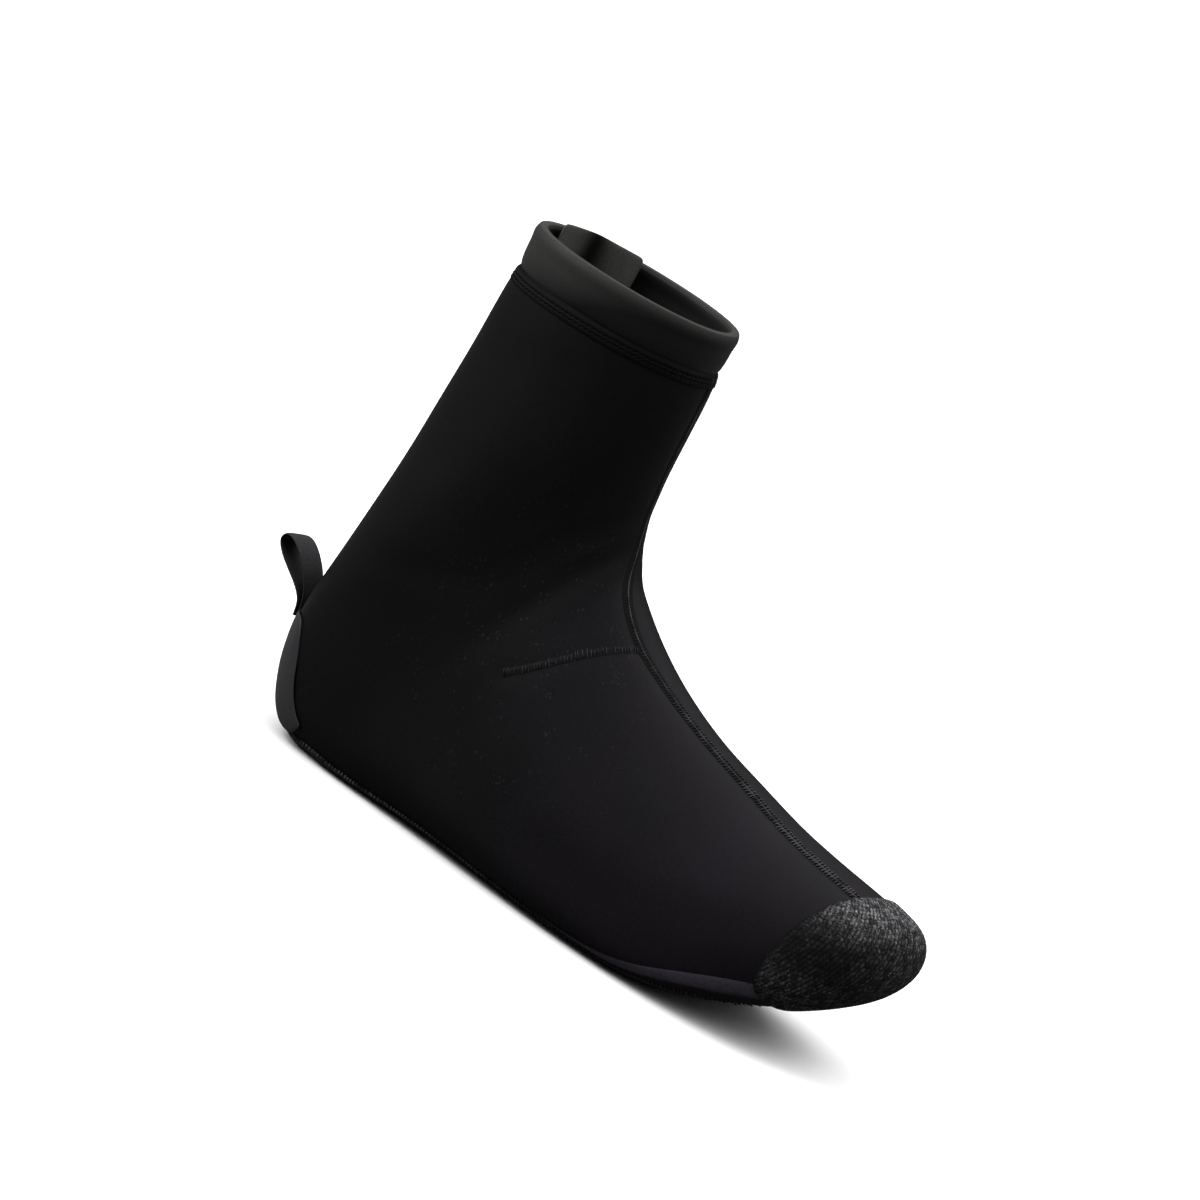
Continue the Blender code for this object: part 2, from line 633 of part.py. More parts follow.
def stand_on_origin(objects):
    """Moves the whole shoe so that the origin is on the floor at the middle of its box."""
    corners = np.array([v.co for obj in objects for v in obj.data.vertices])
    low, high = corners.min(axis=0), corners.max(axis=0)
    root = bpy.data.objects.new("overshoe", None)
    bpy.context.scene.collection.objects.link(root)
    root.location = (-0.5 * (low[0] + high[0]), -0.5 * (low[1] + high[1]), 0.0)
    for obj in bpy.data.objects:
        if obj.type == "MESH":
            obj.parent = root


def main():
    clear_scene()
    last = Last()
    finish = {name: make_finish(name) for name in FINISHES}
    stand_on_origin([
        make_upper(last, finish["stretch_shell"]),
        make_sole(last, finish["sole_rubber"]),
        make_toe_cap(last, finish["abrasion_knit"]),
        make_collar_band(last, finish["collar_tape"]),
        make_closure_tab(last, finish["collar_tape"]),
        make_heel_panel(last, finish["heel_film"]),
        make_pull_loop(finish["collar_tape"]),
        make_front_seam(last, finish["seam_thread"]),
        make_ankle_dart(last, finish["seam_thread"]),
    ])


if __name__ == "__main__":
    main()
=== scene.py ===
"""Looks of an ankle-high cycling overshoe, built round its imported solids.

Each sub-assembly is a class that copies or models its pieces, shapes them and dresses them in a finish. Sizes
are fields in millimetres, and meshes are in metres. +X runs to the toe, -Y to the outer side of the foot and
+Z up.
"""

import logging
import math
from contextlib import contextmanager
from dataclasses import dataclass, field
from enum import Enum
from typing import Any, Callable, Iterator, Sequence

import bpy
import numpy as np
from bpy.types import Material, NodeSocket, NodeTree, Object
from mathutils import Matrix, Vector, noise
from mathutils.bvhtree import BVHTree


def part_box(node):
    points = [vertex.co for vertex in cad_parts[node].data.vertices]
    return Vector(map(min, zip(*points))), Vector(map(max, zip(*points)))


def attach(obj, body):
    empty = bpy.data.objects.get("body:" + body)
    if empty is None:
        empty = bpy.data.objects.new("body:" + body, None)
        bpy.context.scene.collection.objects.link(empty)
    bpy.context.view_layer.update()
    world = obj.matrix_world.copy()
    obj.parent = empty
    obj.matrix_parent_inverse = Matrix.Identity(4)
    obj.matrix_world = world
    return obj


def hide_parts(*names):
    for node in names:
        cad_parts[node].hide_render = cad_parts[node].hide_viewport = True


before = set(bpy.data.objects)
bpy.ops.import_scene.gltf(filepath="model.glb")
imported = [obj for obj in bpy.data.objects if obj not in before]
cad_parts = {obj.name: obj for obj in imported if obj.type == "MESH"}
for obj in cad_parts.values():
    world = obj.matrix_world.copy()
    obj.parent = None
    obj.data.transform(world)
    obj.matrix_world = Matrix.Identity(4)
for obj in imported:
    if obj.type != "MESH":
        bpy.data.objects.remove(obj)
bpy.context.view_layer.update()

MM = 0.001
FULL_TURN = 2 * math.pi
BODY = "root"
SEED = 7
LIGHT = "light"
# Pairs of inputs that take the two ends of a span
FROM = ("From Min", "From Max")
TO = ("To Min", "To Max")
LOG = logging.getLogger("overshoe")

Array = np.ndarray
Span = tuple[float, float]
Point = tuple[float, float, float]
Faces = list[tuple[int, ...]]
Mesh = tuple[Array, Faces]


class Slot(Enum):
    """Material slots, one for each kind of piece."""

    SHELL = "stretch_shell"
    COLLAR = "collar_tape"
    KNIT = "abrasion_knit"
    SOLE = "sole_rubber"
    HEEL = "heel_film"
    THREAD = "seam_thread"


# Small tools


def srgb(code: str) -> tuple[float, ...]:
    """Turns an sRGB hex colour into a linear one.

    Args:
        code: A colour such as "#1c1c1e".

    Returns:
        Red, green, blue and alpha, linear.
    """
    shares = [int(code[n:n + 2], 16) / 255 for n in (1, 3, 5)]
    linear = [s / 12.92 if s <= 0.04045 else ((s + 0.055) / 1.055) ** 2.4 for s in shares]
    return (*linear, 1.0)


def metres(sizes: Sequence[float]) -> tuple[float, ...]:
    """Turns sizes in millimetres into metres."""
    return tuple(size * MM for size in sizes)


def repeats(size: float) -> float:
    """How often a pattern of this size, in millimetres, comes in a metre."""
    return 1 / (size * MM)


def add_node(tree: NodeTree, kind: str, inputs: dict[Any, Any], output: str = "",
             **settings: Any) -> NodeSocket:
    """Adds a shader node with its settings and links.

    Args:
        tree: The node tree of a material or a world.
        kind: The node's type name without its "ShaderNode" start.
        inputs: Values, or sockets to link from, by the input's name or number, or several by their names.
        output: The wanted output, or nothing for the first one that is in use.
        **settings: Properties of the node.

    Returns:
        The output.
    """
    node = tree.nodes.new("ShaderNode" + kind)
    for name, value in settings.items():
        setattr(node, name, value)
    for key, value in inputs.items():
        for name, part in zip(key, value) if isinstance(key, tuple) else [(key, value)]:
            if isinstance(part, NodeSocket):
                tree.links.new(part, node.inputs[name])
            else:
                node.inputs[name].default_value = part
    return node.outputs[output] if output else next(socket for socket in node.outputs if socket.enabled)


def select_only(item: Object) -> None:
    """Selects one object alone and makes it active.

    Args:
        item: The object.
    """
    bpy.ops.object.select_all(action="DESELECT")
    item.select_set(True)
    bpy.context.view_layer.objects.active = item


@contextmanager
def editing(item: Object) -> Iterator[None]:
    """Holds one object in edit mode, with all of it selected at the start.

    Args:
        item: The object.

    Yields:
        Nothing, for as long as edit mode lasts.
    """
    select_only(item)
    bpy.ops.object.mode_set(mode="EDIT")
    bpy.ops.mesh.select_all(action="SELECT")
    yield
    bpy.ops.object.mode_set(mode="OBJECT")


def points_of(mesh: bpy.types.Mesh) -> Array:
    """Reads the points of a mesh.

    Args:
        mesh: The mesh.

    Returns:
        One row for each point, in metres.
    """
    flat = np.empty(len(mesh.vertices) * 3)
    mesh.vertices.foreach_get("co", flat)
    return flat.reshape(-1, 3)


def move_points(item: Object, points: Array) -> None:
    """Gives the object's points new places, in metres."""
    item.data.vertices.foreach_set("co", np.ascontiguousarray(points, dtype=float).ravel())
    item.data.update()


def unit(vectors: Array) -> Array:
    """The vectors at length one, along the last axis."""
    return vectors / np.maximum(np.linalg.norm(vectors, axis=-1, keepdims=True), 1e-12)


def link_new(name: str, data: bpy.types.ID) -> Object:
    """Makes an object and puts it in the scene.

    Args:
        name: The object's name.
        data: Its mesh, camera or lamp.

    Returns:
        The object.
    """
    item = bpy.data.objects.new(name, data)
    bpy.context.scene.collection.objects.link(item)
    return item


def new_mesh(name: str, mesh: Mesh) -> Object:
    """Makes a smooth-shaded object at the origin from arrays.

    Args:
        name: The piece's name.
        mesh: Points in metres, and the point numbers of each face of closed bodies.

    Returns:
        The object, with its faces turned outwards.
    """
    data = bpy.data.meshes.new(name)
    data.from_pydata([tuple(p) for p in mesh[0]], [], mesh[1])
    item = link_new(name, data)
    with editing(item):
        bpy.ops.mesh.normals_make_consistent(inside=False)
    data.shade_smooth()
    return item


def quads(rows: int, columns: int, round_rows: bool = False, closed: bool = False) -> Faces:
    """Spans faces between rows of points.

    Args:
        rows: How many rows there are.
        columns: How many points a row has.
        round_rows: Whether the last point of a row meets its first.
        closed: Whether the last row meets the first.

    Returns:
        One face for each step along a row and to the next row.
    """
    faces = []
    for row in range(rows if closed else rows - 1):
        here, there = row * columns, (row + 1) % rows * columns
        for n in range(columns if round_rows else columns - 1):
            after = (n + 1) % columns
            faces.append((here + n, there + n, there + after, here + after))
    return faces


def tube(rows: int, columns: int, closed: bool = False) -> Faces:
    """The faces of a tube from ring to ring of points, with a face on each end unless its ends meet."""
    ends = [] if closed else [tuple(range(columns)), tuple(range((rows - 1) * columns, rows * columns))]
    return quads(rows, columns, True, closed) + ends


def joined(meshes: Sequence[Mesh]) -> Mesh:
    """Joins several meshes into one.

    Args:
        meshes: Points and faces of each.

    Returns:
        All points, and all faces with their numbers moved on.
    """
    faces: Faces = []
    count = 0
    for points, part in meshes:
        faces += [tuple(n + count for n in face) for face in part]
        count += len(points)
    return np.vstack([points for points, _ in meshes]), faces


def face_tree(item: Object) -> BVHTree:
    """Sorts the faces of an object's first finish, for finding the one nearest to a place or along a line."""
    faces = [tuple(p.vertices) for p in item.data.polygons if p.material_index == 0]
    return BVHTree.FromPolygons([tuple(p) for p in points_of(item.data)], faces)


def shade(item: Object, shares: Array) -> None:
    """Writes how pale each point of a piece is, from 0 to 1, for the finishes that read it: mostly painted
    light and shade.
    """
    layer = item.data.attributes.new(LIGHT, "FLOAT", "POINT")
    layer.data.foreach_set("value", np.ascontiguousarray(shares, float))


def dress(item: Object, slot: Slot, *finishes: "Finish") -> None:
    """Puts finishes on a piece, makes it ride on the shoe and reports it.

    Args:
        item: The piece.
        slot: Its slot; not used.
        *finishes: One for each of its material numbers.
    """
    item.data.materials.clear()
    for finish in finishes:
        item.data.materials.append(finish.material())
    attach(item, BODY)
    LOG.info("%s: %d faces", item.name, len(item.data.polygons))


def nearest_on_path(points: Array, path: Array) -> Array:
    """The nearest place on a line of straight runs.

    Args:
        points: One row each.
        path: The line's corners, one row each.

    Returns:
        One place for each point.
    """
    best = np.full(len(points), np.inf)
    found = np.zeros_like(points)
    for start, end in zip(path[:-1], path[1:]):
        run = end - start
        share = np.clip((points - start) @ run / (run @ run), 0.0, 1.0)
        place = start + share[:, None] * run
        distance = np.linalg.norm(points - place, axis=1)
        nearer = distance < best
        best[nearer] = distance[nearer]
        found[nearer] = place[nearer]
    return found


def sectors(points: Array, node: str, count: int, squared: bool = False) -> tuple[Array, Array]:
    """Sorts points round the middle of a solid, seen from above.

    Args:
        points: One row each, in metres.
        node: The solid's node.
        count: How many sectors there are.
        squared: Whether a long solid is drawn in to a square first.

    Returns:
        For each point the number of its sector, and its level way from the middle.
    """
    low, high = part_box(node)
    level = (points - np.array((low + high) / 2)) * [1.0, 1.0, 0.0]
    drawn = level * (1.0 / (np.array(high) - np.array(low)) if squared else 1.0)
    turn = np.arctan2(drawn[:, 1], drawn[:, 0])
    return np.floor((turn / FULL_TURN + 0.5) * count).astype(int) % count, level


def top_edge(points: Array, sector: Array) -> Array:
    """The highest point of each sector, one row each."""
    groups = [points[sector == n] for n in np.unique(sector)]
    return np.array([mine[mine[:, 2].argmax()] for mine in groups])


# Smooth copies of the solids


SHARP_COSINE = math.cos(math.radians(48.0))
MERGE_DISTANCE = 1e-6
QUAD_ANGLE = math.radians(70.0)


def smooth_copy(node: str, name: str, levels: int, rounds: int = 2) -> Object:
    """Copies a solid, joins its triangles into quads and rounds it, but keeps it on the solid's points.

    Args:
        node: The solid's node.
        name: The new piece's name.
        levels: How often each face is divided.
        rounds: How often the points are pushed out again to make up for what the rounding takes off.

    Returns:
        The new piece, which replaces the node.
    """
    select_only(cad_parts[node])
    bpy.ops.object.duplicate()
    item = bpy.context.object
    item.name = item.data.name = name
    item.parent = None
    for key in list(item.keys()):
        del item[key]
    with editing(item):
        bpy.ops.mesh.remove_doubles(threshold=MERGE_DISTANCE)
        bpy.ops.mesh.tris_convert_to_quads(face_threshold=QUAD_ANGLE, shape_threshold=QUAD_ANGLE)
    item.data.shade_smooth()
    solid = points_of(item.data)
    soft = soft_points(item)
    for _ in range(rounds):
        control = points_of(item.data)
        control[soft] += (solid - rounded_points(item))[soft]
        move_points(item, control)
    select_only(item)
    bpy.ops.object.modifier_apply(modifier=add_rounding(item, levels).name)
    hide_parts(node)
    return item


def add_rounding(item: Object, levels: int) -> bpy.types.Modifier:
    """Adds a modifier that divides and rounds an object's faces.

    Args:
        item: The object.
        levels: How often each face is divided.

    Returns:
        The modifier.
    """
    rounding = item.modifiers.new("Rounding", "SUBSURF")
    rounding.levels = rounding.render_levels = levels
    return rounding


def soft_points(item: Object) -> Array:
    """Tells which points of a closed mesh lie on no sharp edge.

    Args:
        item: The mesh's object.

    Returns:
        One truth value for each point.
    """
    normals = np.array([p.normal for p in item.data.polygons])
    sides: dict[tuple[int, int], list[int]] = {}
    for face in item.data.polygons:
        for key in face.edge_keys:
            sides.setdefault(key, []).append(face.index)
    soft = np.ones(len(item.data.vertices), bool)
    for edge, faces in sides.items():
        if len(faces) != 2 or normals[faces[0]] @ normals[faces[1]] < SHARP_COSINE:
            soft[list(edge)] = False
    return soft


def rounded_points(item: Object) -> Array:
    """Finds where the points of a mesh would lie once it is rounded.

    Args:
        item: The mesh's object.

    Returns:
        One row for each point, in metres.
    """
    rounding = add_rounding(item, 1)
    shown = item.evaluated_get(bpy.context.evaluated_depsgraph_get())
    points = points_of(shown.to_mesh())[:len(item.data.vertices)]
    shown.to_mesh_clear()
    item.modifiers.remove(rounding)
    return points


# Finishes


@dataclass(frozen=True)
class Finish:
    """A material, named for the real one and how its surface was made."""

    name: str
    colour: str
    roughness: float = 0.6
    specular: float = 0.12
    specular_tint: str = "#ffffff"

    def material(self) -> Material:
        """The material, made at its first use.

        Returns:
            A node material with the finish's pattern.
        """
        made = bpy.data.materials.get(self.name)
        if made is None:
            made = bpy.data.materials.new(self.name)
            made.use_nodes = True
            inputs = made.node_tree.nodes["Principled BSDF"].inputs
            inputs["Base Color"].default_value = srgb(self.colour)
            inputs["Roughness"].default_value = self.roughness
            inputs["Specular IOR Level"].default_value = self.specular
            inputs["Specular Tint"].default_value = srgb(self.specular_tint)
            for name, socket in self.pattern(made.node_tree).items():
                made.node_tree.links.new(socket, inputs[name])
        return made

    def pattern(self, tree: NodeTree) -> dict[str, NodeSocket]:
        """Draws the pattern of the surface.

        Args:
            tree: The material's node tree.

        Returns:
            What drives the shader, by the names of its inputs; nothing for a plain surface.
        """
        return {}

    def wear_and_painted_light(self, tree: NodeTree, place: NodeSocket, colour: NodeSocket) -> NodeSocket:
        """Marks the colour with lint, random tone, or painted light and shade, as each finish needs; most
        finishes stay even.

        Args:
            tree: The material's node tree.
            place: The place on the object.
            colour: The colour of the pattern.

        Returns:
            The marked colour.
        """
        return colour


@dataclass(frozen=True)
class Jersey(Finish):
    """Polyester jersey bonded to foam: matt, with a speckle of fine loops, cloudy where it is stretched."""

    light: str = "#131216"
    # Paler and more purple towards the toe: painted sheen where the forefoot faces the light
    toe_painted_sheen: str = "#131216"
    toe_from: Span = (-40.0, 90.0)
    grain_mm: float = 1.1
    cloud_mm: float = 45.0
    speckle: Span = (0.12, 0.42)
    relief_mm: float = 0.1
    relief_share: float = 0.4

    def pattern(self, tree: NodeTree) -> dict[str, NodeSocket]:
        """Draws the speckle of loops, a little coarser than the real 0.6 mm to show, the clouds, and a
        painted sheen towards the toe.

        Args:
            tree: The material's node tree.

        Returns:
            The colour and the relief.
        """
        place = add_node(tree, "TexCoord", {}, "Object")
        loops = add_node(tree, "TexNoise", {"Vector": place, "Scale": repeats(self.grain_mm), "Detail": 2.0})
        cloud = add_node(tree, "TexNoise", {"Vector": place, "Scale": repeats(self.cloud_mm), "Detail": 1.0})
        share = add_node(tree, "Math", {0: loops, 1: cloud}, operation="MULTIPLY")
        spread = add_node(tree, "MapRange", {"Value": share, FROM: self.speckle})
        x = add_node(tree, "SeparateXYZ", {"Vector": place}, "X")
        # Painted sheen: the pale loops grow lighter and more purple towards the toe
        ahead = add_node(tree, "MapRange", {"Value": x, FROM: metres(self.toe_from)})
        light = add_node(tree, "Mix", {"Factor": ahead, "A": srgb(self.light), "B": srgb(self.toe_painted_sheen)},
                         data_type="RGBA")
        tint = add_node(tree, "Mix", {"Factor": spread, "A": srgb(self.colour), "B": light}, data_type="RGBA")
        bump = add_node(tree, "Bump", {"Height": loops, "Strength": self.relief_share,
                                       "Distance": self.relief_mm * MM})
        return {"Base Color": self.wear_and_painted_light(tree, place, tint), "Normal": bump}


@dataclass(frozen=True)
class LintedJersey(Jersey):
    """The outer jersey, with specks of pale lint caught in it round the ankle, where it rubs."""

    lint: str = "#1d1d1c"
    lint_mm: float = 1.7
    lint_bend_mm: float = 1.6
    lint_stretch: Point = (1.0, 1.0, 0.55)
    # Where the lint lies in patches, how large its specks then are and how soft their edges
    lint_patch_mm: float = 7.0
    lint_patch: Span = (0.4, 0.64)
    lint_size: float = 0.3
    lint_blur: float = 0.12
    lint_centre: Point = (-25.0, -40.0, 92.0)
    lint_reach: Span = (30.0, 85.0)

    def wear_and_painted_light(self, tree: NodeTree, place: NodeSocket, colour: NodeSocket) -> NodeSocket:
        """Puts the specks on the colour, bent by noise into short fibres.

        Args:
            tree: The material's node tree.
            place: The place on the object.
            colour: The colour of the jersey.

        Returns:
            The colour with the specks.
        """
        bend = add_node(tree, "TexNoise", {"Vector": place, "Scale": repeats(self.lint_bend_mm)}, "Color")
        bent = add_node(tree, "VectorMath", {0: bend, 1: (self.lint_bend_mm * MM,) * 3, 2: place},
                        operation="MULTIPLY_ADD")
        drawn = add_node(tree, "VectorMath", {0: bent, 1: self.lint_stretch}, operation="MULTIPLY")
        spots = add_node(tree, "TexVoronoi", {"Vector": drawn, "Scale": repeats(self.lint_mm)})
        patch = add_node(tree, "TexNoise", {"Vector": place, "Scale": repeats(self.lint_patch_mm),
                                            "Detail": 1.0})
        size = add_node(tree, "MapRange", {"Value": patch, FROM: self.lint_patch, "To Max": self.lint_size})
        inside = add_node(tree, "Math", {0: size, 1: spots}, operation="SUBTRACT")
        spot = add_node(tree, "MapRange", {"Value": inside, "From Max": self.lint_blur})
        away = add_node(tree, "VectorMath", {0: place, 1: metres(self.lint_centre)}, operation="DISTANCE")
        near = add_node(tree, "MapRange", {"Value": away, FROM: metres(self.lint_reach), TO: (1.0, 0.0)})
        share = add_node(tree, "Math", {0: spot, 1: near}, operation="MULTIPLY")
        return add_node(tree, "Mix", {"Factor": share, "A": colour, "B": srgb(self.lint)}, data_type="RGBA")


@dataclass(frozen=True)
class Knit(Finish):
    """Abrasion knit of mixed yarn: grey and black flecks on the crests of its loops, and painted shade
    between them.
    """

    yarn: str = "#8c8c8e"
    fleck_mm: float = 0.7
    flecks: Span = (0.38, 0.68)
    fleck_least: float = 0.05
    fibre_mm: float = 0.35
    relief_mm: float = 0.12
    relief_share: float = 0.6

    def pattern(self, tree: NodeTree) -> dict[str, NodeSocket]:
        """Draws the flecks of the yarn on the crests that the mesh carries, with the painted light and shade
        it also carries, and the fuzz of its fibres.

        Args:
            tree: The material's node tree.

        Returns:
            The colour and the relief.
        """
        place = add_node(tree, "TexCoord", {}, "Object")
        # The mesh's light attribute holds the loops' crests, the yarn's random lots and painted light over
        # the toe
        crest = add_node(tree, "Attribute", {}, "Fac", attribute_name=LIGHT)
        fleck = add_node(tree, "TexNoise", {"Vector": place, "Scale": repeats(self.fleck_mm), "Detail": 2.0})
        fibre = add_node(tree, "TexNoise", {"Vector": place, "Scale": repeats(self.fibre_mm), "Detail": 1.0})
        lit = add_node(tree, "MapRange", {"Value": fleck, FROM: self.flecks, "To Min": self.fleck_least})
        share = add_node(tree, "Math", {0: crest, 1: lit}, operation="MULTIPLY")
        tint = add_node(tree, "Mix", {"Factor": share, "A": srgb(self.colour), "B": srgb(self.yarn)},
                        data_type="RGBA")
        bump = add_node(tree, "Bump", {"Height": fibre, "Strength": self.relief_share,
                                       "Distance": self.relief_mm * MM})
        return {"Base Color": tint, "Normal": bump}


@dataclass(frozen=True)
class Grained(Finish):
    """A coated or fine-woven surface with a small even grain, which breaks up its gloss."""

    light: str = "#2a2a2c"
    grain_mm: float = 0.9
    grain_full: float = 0.8
    roughness_more: Span = (-0.08, 0.1)
    relief_mm: float = 0.06
    relief_share: float = 0.5

    def pattern(self, tree: NodeTree) -> dict[str, NodeSocket]:
        """Draws the grain.

        Args:
            tree: The material's node tree.

        Returns:
            The colour, the roughness and the relief.
        """
        place = add_node(tree, "TexCoord", {}, "Object")
        grain = add_node(tree, "TexVoronoi", {"Vector": place, "Scale": repeats(self.grain_mm)})
        share = add_node(tree, "MapRange", {"Value": grain, "From Max": self.grain_full})
        tint = add_node(tree, "Mix", {"Factor": share, "A": srgb(self.light), "B": srgb(self.colour)},
                        data_type="RGBA")
        roughness = [self.roughness + more for more in self.roughness_more]
        rough = add_node(tree, "MapRange", {"Value": grain, TO: roughness})
        bump = add_node(tree, "Bump", {"Height": grain, "Strength": self.relief_share,
                                       "Distance": self.relief_mm * MM}, invert=True)
        return {"Base Color": self.wear_and_painted_light(tree, place, tint), "Roughness": rough, "Normal": bump}


@dataclass(frozen=True)
class Elastic(Grained):
    """Folded cloth, tape or rubber, with painted light and shade: pale where its mesh marks painted light,
    deep where it marks painted shade.
    """

    # The colour in painted shade
    deep: str = "#0d0d0c"

    def wear_and_painted_light(self, tree: NodeTree, place: NodeSocket, colour: NodeSocket) -> NodeSocket:
        """Paints shade: deepens the colour where the mesh's light attribute is low."""
        share = add_node(tree, "Attribute", {}, "Fac", attribute_name=LIGHT)
        return add_node(tree, "Mix", {"Factor": share, "A": srgb(self.deep), "B": colour}, data_type="RGBA")


@dataclass(frozen=True)
class Spun(Grained):
    """Spun thread: fuzzy and matt, paler in some stretches of a seam than in others."""

    grain_mm: float = 0.4
    deep: str = "#0c0c0c"
    stretch_mm: float = 6.0
    stretches: Span = (0.36, 0.58)
    toe_from: Span = (-20.0, 100.0)
    heel_share: float = 0.55
    toe_share: float = 1.0

    def wear_and_painted_light(self, tree: NodeTree, place: NodeSocket, colour: NodeSocket) -> NodeSocket:
        """Deepens the colour in some stretches, and towards one end of the shoe.

        Args:
            tree: The material's node tree.
            place: The place on the object.
            colour: The colour of the thread.

        Returns:
            The uneven colour.
        """
        stretch = add_node(tree, "TexNoise", {"Vector": place, "Scale": repeats(self.stretch_mm),
                                              "Detail": 2.0})
        pale = add_node(tree, "MapRange", {"Value": stretch, FROM: self.stretches})
        x = add_node(tree, "SeparateXYZ", {"Vector": place}, "X")
        ahead = add_node(tree, "MapRange", {"Value": x, FROM: metres(self.toe_from),
                                            TO: (self.heel_share, self.toe_share)})
        share = add_node(tree, "Math", {0: pale, 1: ahead}, operation="MULTIPLY")
        return add_node(tree, "Mix", {"Factor": share, "A": srgb(self.deep), "B": colour}, data_type="RGBA")


# A dense face of fine loops: nearly no gloss, only a faint cool sheen where it turns to the light, and a
# painted purple sheen towards the toe
JERSEY = LintedJersey("black polyester jersey, bonded to foam", "#090909", 0.6, 0.075, "#f2e8f6",
                      light="#0d0d0d", toe_painted_sheen="#130f15")
# Brushed loops scatter the light, so the inside is dull and even
LINING = Jersey("dark fleece lining, brushed", "#10100e", 0.9, 0.05, light="#171714", toe_painted_sheen="#171714")
# Grey and black fibres in one yarn: a salt and pepper of dashes along the rows, with no gloss
ABRASION_KNIT = Knit("grey and black abrasion knit, melange", "#080809", 0.9, 0.05)
# Fine ribs of covered rubber: a soft grey, with painted light on the rolled rim and towards the back, and
# painted shade inside
ELASTIC = Elastic("charcoal elastic, knitted", "#2a2a29", light="#30302f", grain_mm=0.7, deep="#060606")
# The same elastic turned under and drawn tight: close to black, with a faint grain, painted light on its
# ridges towards the back and painted shade in its grooves
EDGING = Elastic("black elastic edging, folded", "#1b1b1a", 0.7, 0.05, light="#21211f", grain_mm=0.7,
                 deep="#070707")
# A film pressed on the cloth: smoother than the rest, with a broad dull gloss
HEEL_FILM = Grained("charcoal coated fabric, pressed smooth", "#28282a", 0.5, 0.15, light="#2e2e30",
                    grain_mm=0.8)
# A matt skin with a small embossed grain: dull, slightly purple grey
RUBBER = Grained("rubberised sole fabric, embossed", "#2a262e", 0.6, 0.2, light="#343039", grain_mm=1.4,
                 relief_mm=0.2)
# The same skin turned up the side, a paler purple grey along its upper edge, with painted shadow below it
RAND = Elastic("rubberised fabric, turned up", "#332e37", light="#3b3640", grain_mm=1.4, deep="#050506")
# Flat woven tape: a tight even grain and little sheen, with painted shade on the faces turned into the loop
TAPE = Elastic("charcoal polyester tape, woven", "#222224", 0.66, light="#2a2a2c", grain_mm=0.8,
               deep="#080809")
# Knitted hook tape: rough and pale on its lobes, with painted shade in its fold and over its far lobe
TAB_TAPE = Elastic("grey hook tape, knitted", "#484845", 0.8, 0.1, light="#525250", deep="#0a0a09")
# Dull twisted threads, from black to grey, whose stitches catch the light unevenly
THREAD = Grained("black polyester thread, spun", "#040405", 0.7, 0.04, light="#070708", grain_mm=0.4)
DARK_THREAD = Spun("dark grey polyester thread, spun", "#232324", light="#2d2d2d", deep="#101010",
                   heel_share=1.0)
SEAM_BED = Spun("black polyester thread, flat-locked", "#040405", 0.7, 0.05, light="#060607", deep="#0a0a0a",
                toe_from=(0.0, 90.0), heel_share=0.0)
SEAM_THREAD = Spun("grey polyester thread, looped", "#3c3c3e", light="#4c4c4e", deep="#0d0d0e",
                   toe_from=(-10.0, 100.0), heel_share=0.05)
OVERLOCK_THREAD = Spun("grey polyester thread, overlocked", "#4c4c4e", light="#6c6c6e", deep="#0c0c0d",
                       toe_from=(-95.0, 10.0), heel_share=1.0, toe_share=0.15)
GREY_THREAD = Spun("grey polyester thread, corded", "#333335", light="#424244", deep="#1c1c1e",
                   heel_share=0.9)


# Lines of stitches on the skin


# How often a line is evened out before it is laid on the skin, and afterwards
LINE_PASSES = 40
PLACE_PASSES = 6


@dataclass
class Skin:
    """The outer face of the shell, on which the sewn pieces are laid."""

    item: Object
    tree: BVHTree = field(init=False)

    def __post_init__(self) -> None:
        """Sorts the outer faces, which have the first finish."""
        self.tree = face_tree(self.item)

    def nearest(self, points: Array) -> tuple[Array, Array]:
        """The nearest places on the skin to some points, in metres, and the skin's normals there."""
        found = [self.tree.find_nearest(tuple(p)) for p in points]
        return np.array([f[0] for f in found]), np.array([f[1] for f in found])

    def sheet(self, grid: Array, thickness: float, sink: float = 0.3) -> Mesh:
        """Lays a thin sheet on the skin, with soft edges.

        Args:
            grid: Places near the skin, in metres: rows along the sheet and columns across it.
            thickness: How far it stands off the skin, in millimetres.
            sink: How deep its back and its edges lie in the skin, in millimetres.

        Returns:
            Points and faces of a closed body.
        """
        rows, columns = grid.shape[:2]
        count = rows * columns
        places, normals = self.nearest(grid.reshape(-1, 3))
        lift = np.full((rows, columns), thickness)
        lift[[0, -1]] = lift[:, [0, -1]] = 0.0
        outer = places + lift.reshape(-1, 1) * MM * normals
        inner = places - sink * MM * normals
        faces = quads(rows, columns)
        faces += [tuple(n + count for n in face[::-1]) for face in faces]
        number = np.arange(count).reshape(rows, columns)
        rim = np.concatenate([number[0], number[1:, -1], number[-1, -2::-1], number[-2:0:-1, 0]]).tolist()
        faces += [(here, there, there + count, here + count) for here, there in zip(rim, rim[1:] + rim[:1])]
        return np.vstack([outer, inner]), faces


def softened(rows: Array, passes: int, closed: bool) -> Array:
    """Evens out a line, point by point.

    Args:
        rows: One row for each point.
        passes: How often each point is drawn to the middle of its neighbours.
        closed: Whether the last point meets the first.

    Returns:
        The softened rows; open ends stay in place.
    """
    rows = rows.copy()
    for _ in range(passes):
        mean = (np.roll(rows, 1, axis=0) + 2 * rows + np.roll(rows, -1, axis=0)) / 4
        if not closed:
            mean[0], mean[-1] = rows[0], rows[-1]
        rows = mean
    return rows


